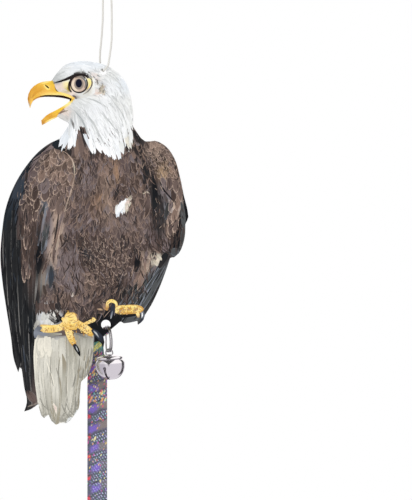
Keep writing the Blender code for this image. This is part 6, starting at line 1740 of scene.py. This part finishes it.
    # painted sparkle: the whole film's colour is brightened and dimmed by noise, standing in for glints
    shade = nodes.add("MapRange", {0: spark, 1: 0.2, 2: 0.8, 3: 0.66, 4: 1.56}).outputs[0]
    colour = nodes.mix(1.0, colour, nodes.add("CombineColor", {0: shade, 1: shade, 2: shade}).outputs[0], "MULTIPLY")
    nodes.tree.links.new(colour, shader.inputs["Base Color"])
    rough = nodes.add("MapRange", {0: patch, 3: 0.28, 4: 0.46}).outputs[0]
    nodes.tree.links.new(rough, shader.inputs["Roughness"])
    nodes.tree.links.new(nodes.bump(nodes.math("ADD", row, spark), 0.12, 0.0001), shader.inputs["Normal"])
    return material


def assign(node, material):
    obj = NODES[node]
    obj.data.materials.clear()
    obj.data.materials.append(material)


def film_material(wear, roughness):
    """The print's own film, under the feathers: dark over the body, pale over the head and the tail."""
    material, nodes, shader = new_material("print film", roughness=roughness, Specular_IOR_Level=0.15)
    place = object_place(nodes)
    parts = nodes.add("SeparateXYZ", {0: place}).outputs
    tone, fine, marks = use_wear(nodes, wear, place, 45.0, 900.0, 60.0)
    head = nodes.ramp(parts[2], -0.188, -0.184)
    beak = nodes.math("MULTIPLY", head, nodes.ramp(parts[0], -0.0515, -0.0535))
    tail = nodes.math("MULTIPLY", nodes.ramp(parts[2], -0.394, -0.397), nodes.ramp(parts[0], -0.0745, -0.0725))
    dark = nodes.mix(tone, (0.02, 0.02, 0.022, 1), (0.05, 0.04, 0.036, 1))
    pale = nodes.mix(tone, (0.66, 0.69, 0.72, 1), (0.8, 0.81, 0.82, 1))
    colour = nodes.mix(nodes.math("MAXIMUM", head, tail), dark, pale)
    colour = nodes.mix(beak, colour, (0.76, 0.44, 0.08, 1))
    nodes.tree.links.new(colour, shader.inputs["Base Color"])
    nodes.tree.links.new(nodes.bump(fine, 0.05, 0.0001), shader.inputs["Normal"])
    return material


def foam_material(wear):
    """The foamed board's cut edge: off-white, with fine closed cells and the knife's faint lines."""
    material, nodes, shader = new_material("foam board edge", roughness=0.62, Specular_IOR_Level=0.3)
    place = object_place(nodes)
    tone, fine, marks = use_wear(nodes, wear, place, 55.0, 1500.0, 90.0)
    colour = nodes.mix(tone, (0.6, 0.6, 0.58, 1), (0.82, 0.82, 0.8, 1))
    colour = nodes.mix(nodes.math("MULTIPLY", marks, 0.3), colour, (0.45, 0.44, 0.42, 1))
    nodes.tree.links.new(colour, shader.inputs["Base Color"])
    cells = nodes.add("TexVoronoi", {"Vector": place, "Scale": 2600.0}).outputs["Distance"]
    nodes.tree.links.new(nodes.bump(nodes.math("ADD", cells, nodes.math("MULTIPLY", fine, 0.4)), 0.35, 0.00008),
                         shader.inputs["Normal"])
    return material


def make_stage(settings):
    scene = bpy.context.scene
    scene.view_settings.view_transform = "Standard"
    bm = bmesh.new()
    bmesh.ops.create_circle(bm, cap_ends=True, segments=96, radius=2.3)
    bmesh.ops.translate(bm, verts=bm.verts, vec=(0, 0, -0.76))
    mesh = bpy.data.meshes.new("floor")
    bm.to_mesh(mesh)
    bm.free()
    floor = bpy.data.objects.new("floor", mesh)
    scene.collection.objects.link(floor)
    material, nodes, shader = new_material("pale floor", roughness=0.85, Specular_IOR_Level=0.1)
    drift = nodes.noise(object_place(nodes), 3.0, 3.0)
    nodes.tree.links.new(nodes.mix(drift, (0.8, 0.8, 0.8, 1), (0.84, 0.84, 0.84, 1)), shader.inputs["Base Color"])
    mesh.materials.append(material)
    floor.visible_glossy = False

    world = bpy.data.worlds.new("studio")
    scene.world = world
    world.use_nodes = True
    tree = world.node_tree
    nodes = Nodes(tree)
    background = tree.nodes["Background"]
    aim = nodes.add("TexCoord").outputs["Generated"]
    parts = nodes.add("SeparateXYZ", {0: aim}).outputs
    rays = nodes.add("LightPath").outputs
    high = nodes.ramp(parts[2], -0.05, 1.0)
    soft = nodes.mix(high, (0.58, 0.58, 0.59, 1), (2.0, 2.0, 2.0, 1))
    across, ahead, up = parts
    half = nodes.math("ADD", nodes.math("MULTIPLY", up, 0.5), 0.1)
    vee = nodes.math("SUBTRACT", nodes.math("ABSOLUTE", nodes.math("ADD", across, 0.17)), half)
    vee = nodes.math("MULTIPLY", nodes.ramp(vee, 0.04, -0.03), nodes.ramp(up, -0.3, -0.1))
    vee = nodes.math("MULTIPLY", vee, nodes.ramp(ahead, 0.3, 0.1))
    right = nodes.math("MULTIPLY", nodes.ramp(across, 0.52, 0.66), nodes.ramp(ahead, 0.2, 0.4))
    right = nodes.math("MULTIPLY", right, nodes.ramp(ahead, 0.9, 0.78))
    left = nodes.math("MULTIPLY", nodes.ramp(across, -0.5, -0.75), 0.4)
    glossy = nodes.mix(nodes.ramp(up, 0.04, 0.2), (0.82, 0.785, 0.82, 1), (1.25, 1.22, 1.2, 1))
    glossy = nodes.mix(left, glossy, (0.3, 0.27, 0.36, 1))
    dark = nodes.math("MAXIMUM", nodes.math("MULTIPLY", vee, 0.95), nodes.math("MULTIPLY", right, 0.95))
    glossy = nodes.mix(dark, glossy, (0.03, 0.028, 0.03, 1))
    colour = nodes.mix(rays["Is Glossy Ray"], soft, glossy)
    colour = nodes.mix(nodes.math("MAXIMUM", rays["Is Camera Ray"], rays["Is Transmission Ray"]), colour, (1, 1, 1, 1))
    tree.links.new(colour, background.inputs["Color"])
    lit = nodes.math("MAXIMUM", rays["Is Camera Ray"],
                     nodes.math("MAXIMUM", rays["Is Glossy Ray"], rays["Is Transmission Ray"]))
    strength = nodes.add("MapRange", {0: lit, 3: settings.world_level, 4: 1.0}).outputs[0]
    tree.links.new(strength, background.inputs["Strength"])

    middle = Vector((0.0987, 0.0, -0.3085))
    for name, place, size, power in (("key softbox", (-1.5, -1.4, 0.7), 1.0, settings.key_power * 1.24),
                                     ("fill softbox", (1.3, -1.2, 0.1), 1.0, settings.key_power * 0.35),
                                     ("back softbox", (0.3, 1.6, 0.5), 1.2, settings.key_power * 0.9)):
        light = bpy.data.lights.new(name, "AREA")
        light.size, light.energy = size, power
        lamp = bpy.data.objects.new(name, light)
        scene.collection.objects.link(lamp)
        lamp.location = place
        lamp.visible_glossy = False
        lamp.rotation_euler = (Vector(place) - middle).to_track_quat("Z", "Y").to_euler()

    far = 5.0
    camera = bpy.data.objects.new("camera", bpy.data.cameras.new("camera"))
    scene.collection.objects.link(camera)
    camera.data.sensor_width = 36.0
    camera.data.lens = 36.0 * far / 0.5
    camera.data.clip_end = 40.0
    camera.location = middle + Vector((0, -far, 0))
    camera.rotation_euler = (math.pi / 2, 0, 0)
    scene.camera = camera


class ScarerSettings(bpy.types.PropertyGroup):
    """What a user of the scarer might change."""
    cord_lay: FloatProperty(name="Cord lay", description="Length of one turn of the cord's plies",
                            default=0.0062, min=0.002, max=0.02, unit="LENGTH")
    print_roughness: FloatProperty(name="Print roughness", description="Roughness of the printed film",
                                   default=0.55, min=0.0, max=1.0, subtype="FACTOR")
    ring_steps: IntProperty(name="Ring steps", description="Steps in one turn of the split ring's wire",
                            default=150, min=24, max=400)
    bell_facets: IntProperty(name="Bell facets", description="Facets round the bell's shells",
                             default=128, min=24, max=256)
    chrome_tint: FloatVectorProperty(name="Chrome tint", description="Colour of the bell's plating",
                                     default=(0.80, 0.78, 0.81), min=0.0, max=1.0, subtype="COLOR")
    chrome_roughness: FloatProperty(name="Chrome roughness", description="Roughness of the bell's plating",
                                    default=0.12, min=0.0, max=1.0, subtype="FACTOR")
    steel_tint: FloatVectorProperty(name="Steel tint", description="Colour of the ring's spring wire",
                                    default=(0.5, 0.49, 0.5), min=0.0, max=1.0, subtype="COLOR")
    world_level: FloatProperty(name="World level", description="Strength of the light from all round",
                               default=0.62, min=0.0, max=2.0)
    key_power: FloatProperty(name="Key power", description="Power of the main softbox", default=16.0, min=0.0,
                             unit="POWER")


class Shared:
    """Node groups and materials that more than one operator uses, each made once."""
    made = {}

    @classmethod
    def get(cls, name, maker, *values):
        if name not in cls.made:
            cls.made[name] = maker(*values)
        return cls.made[name]


def wear():
    return Shared.get("wear", wear_group)


def feather_print():
    plume = Shared.get("plume", plume_group)
    return Shared.get("print", print_material, "feather print", plume,
                      bpy.context.scene.scarer_settings.print_roughness)


def cotton():
    return Shared.get("cotton", cord_material)


def holo():
    return Shared.get("holo", holo_material)


class SCARER_OT_stage(bpy.types.Operator):
    """Set up the camera, the studio light and the floor"""
    bl_idname = "scarer.stage"
    bl_label = "Stage"

    def execute(self, context):
        make_stage(context.scene.scarer_settings)
        return {"FINISHED"}


class SCARER_OT_cords(bpy.types.Operator):
    """Lay the hanging cord's strands and the loop as twisted cord"""
    bl_idname = "scarer.cords"
    bl_label = "Cord and loop"

    def execute(self, context):
        make_cords(cotton())
        return {"FINISHED"}


class SCARER_OT_knot(bpy.types.Operator):
    """Tie the knot above the strands"""
    bl_idname = "scarer.knot"
    bl_label = "Knot"

    def execute(self, context):
        make_knot(cotton())
        return {"FINISHED"}


class SCARER_OT_board(bpy.types.Operator):
    """Finish the foam board's edge and the two films"""
    bl_idname = "scarer.board"
    bl_label = "Board and films"

    def execute(self, context):
        assign("board_core", foam_material(wear()))
        film = film_material(wear(), context.scene.scarer_settings.print_roughness)
        assign("front_print", film)
        assign("back_print", film)
        return {"FINISHED"}


class SCARER_OT_head(bpy.types.Operator):
    """Print the eagle's head: crown, hackles, face, eye and beak"""
    bl_idname = "scarer.head"
    bl_label = "Printed head"

    def execute(self, context):
        for draw in (print_head, print_face, print_eye, print_beak):
            draw(feather_print())
        return {"FINISHED"}


class SCARER_OT_plumage(bpy.types.Operator):
    """Print the eagle's body, wings and tail"""
    bl_idname = "scarer.plumage"
    bl_label = "Printed plumage"

    def execute(self, context):
        for draw in (print_ground, print_body, print_left_wing, print_right_wing, print_tail):
            draw(feather_print())
        return {"FINISHED"}


class SCARER_OT_feet(bpy.types.Operator):
    """Print the thighs, the toes and the claws"""
    bl_idname = "scarer.feet"
    bl_label = "Printed feet"

    def execute(self, context):
        print_feet(feather_print())
        return {"FINISHED"}


class SCARER_OT_ring(bpy.types.Operator):
    """Wind the split ring from rounded flat wire"""
    bl_idname = "scarer.ring"
    bl_label = "Split ring"

    def execute(self, context):
        settings = context.scene.scarer_settings
        make_ring(metal_material("ring steel", wear(), tuple(settings.steel_tint), 0.2, 0.72, 90.0, 160.0),
                  settings.ring_steps)
        return {"FINISHED"}


class SCARER_OT_bell(bpy.types.Operator):
    """Press the bell's two shells, bend its eye and finish its pea"""
    bl_idname = "scarer.bell"
    bl_label = "Jingle bell"

    def execute(self, context):
        settings = context.scene.scarer_settings
        chrome = metal_material("bell chrome", wear(), tuple(settings.chrome_tint), settings.chrome_roughness, 0.9,
                                70.0, 90.0)
        make_bell(chrome, settings.bell_facets)
        make_bell_eye(metal_material("eye wire", wear(), (0.5, 0.49, 0.5), 0.22, 0.7, 120.0, 300.0))
        assign("bell_pea", metal_material("pea steel", wear(), (0.45, 0.45, 0.46), 0.34, 0.6, 160.0, 400.0))
        return {"FINISHED"}


class SCARER_OT_ribbon(bpy.types.Operator):
    """Hang the holographic ribbon and tie its end round the ring"""
    bl_idname = "scarer.ribbon"
    bl_label = "Holographic ribbon"

    def execute(self, context):
        make_ribbon(holo())
        make_ribbon_knot(holo())
        return {"FINISHED"}


class SCARER_PT_panel(bpy.types.Panel):
    """Lists the scarer's pieces and settings"""
    bl_label = "Bird scarer"
    bl_idname = "SCARER_PT_panel"
    bl_space_type = "VIEW_3D"
    bl_region_type = "UI"
    bl_category = "Scarer"

    def draw(self, context):
        for name in ScarerSettings.__annotations__:
            self.layout.prop(context.scene.scarer_settings, name)
        for operator in OPERATORS:
            self.layout.operator(operator.bl_idname)


OPERATORS = (SCARER_OT_stage, SCARER_OT_cords, SCARER_OT_knot, SCARER_OT_board, SCARER_OT_plumage, SCARER_OT_head,
             SCARER_OT_feet, SCARER_OT_ring, SCARER_OT_bell, SCARER_OT_ribbon)
CLASSES = (ScarerSettings, *OPERATORS, SCARER_PT_panel)


def register():
    for cls in CLASSES:
        bpy.utils.register_class(cls)
    bpy.types.Scene.scarer_settings = PointerProperty(type=ScarerSettings)


def unregister():
    del bpy.types.Scene.scarer_settings
    for cls in reversed(CLASSES):
        bpy.utils.unregister_class(cls)


def main():
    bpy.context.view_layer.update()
    register()
    bpy.ops.scarer.stage()
    bpy.ops.scarer.cords()
    bpy.ops.scarer.knot()
    bpy.ops.scarer.board()
    bpy.ops.scarer.plumage()
    bpy.ops.scarer.head()
    bpy.ops.scarer.feet()
    bpy.ops.scarer.ring()
    bpy.ops.scarer.bell()
    bpy.ops.scarer.ribbon()
    bpy.context.view_layer.update()


if __name__ == "__main__":
    main()
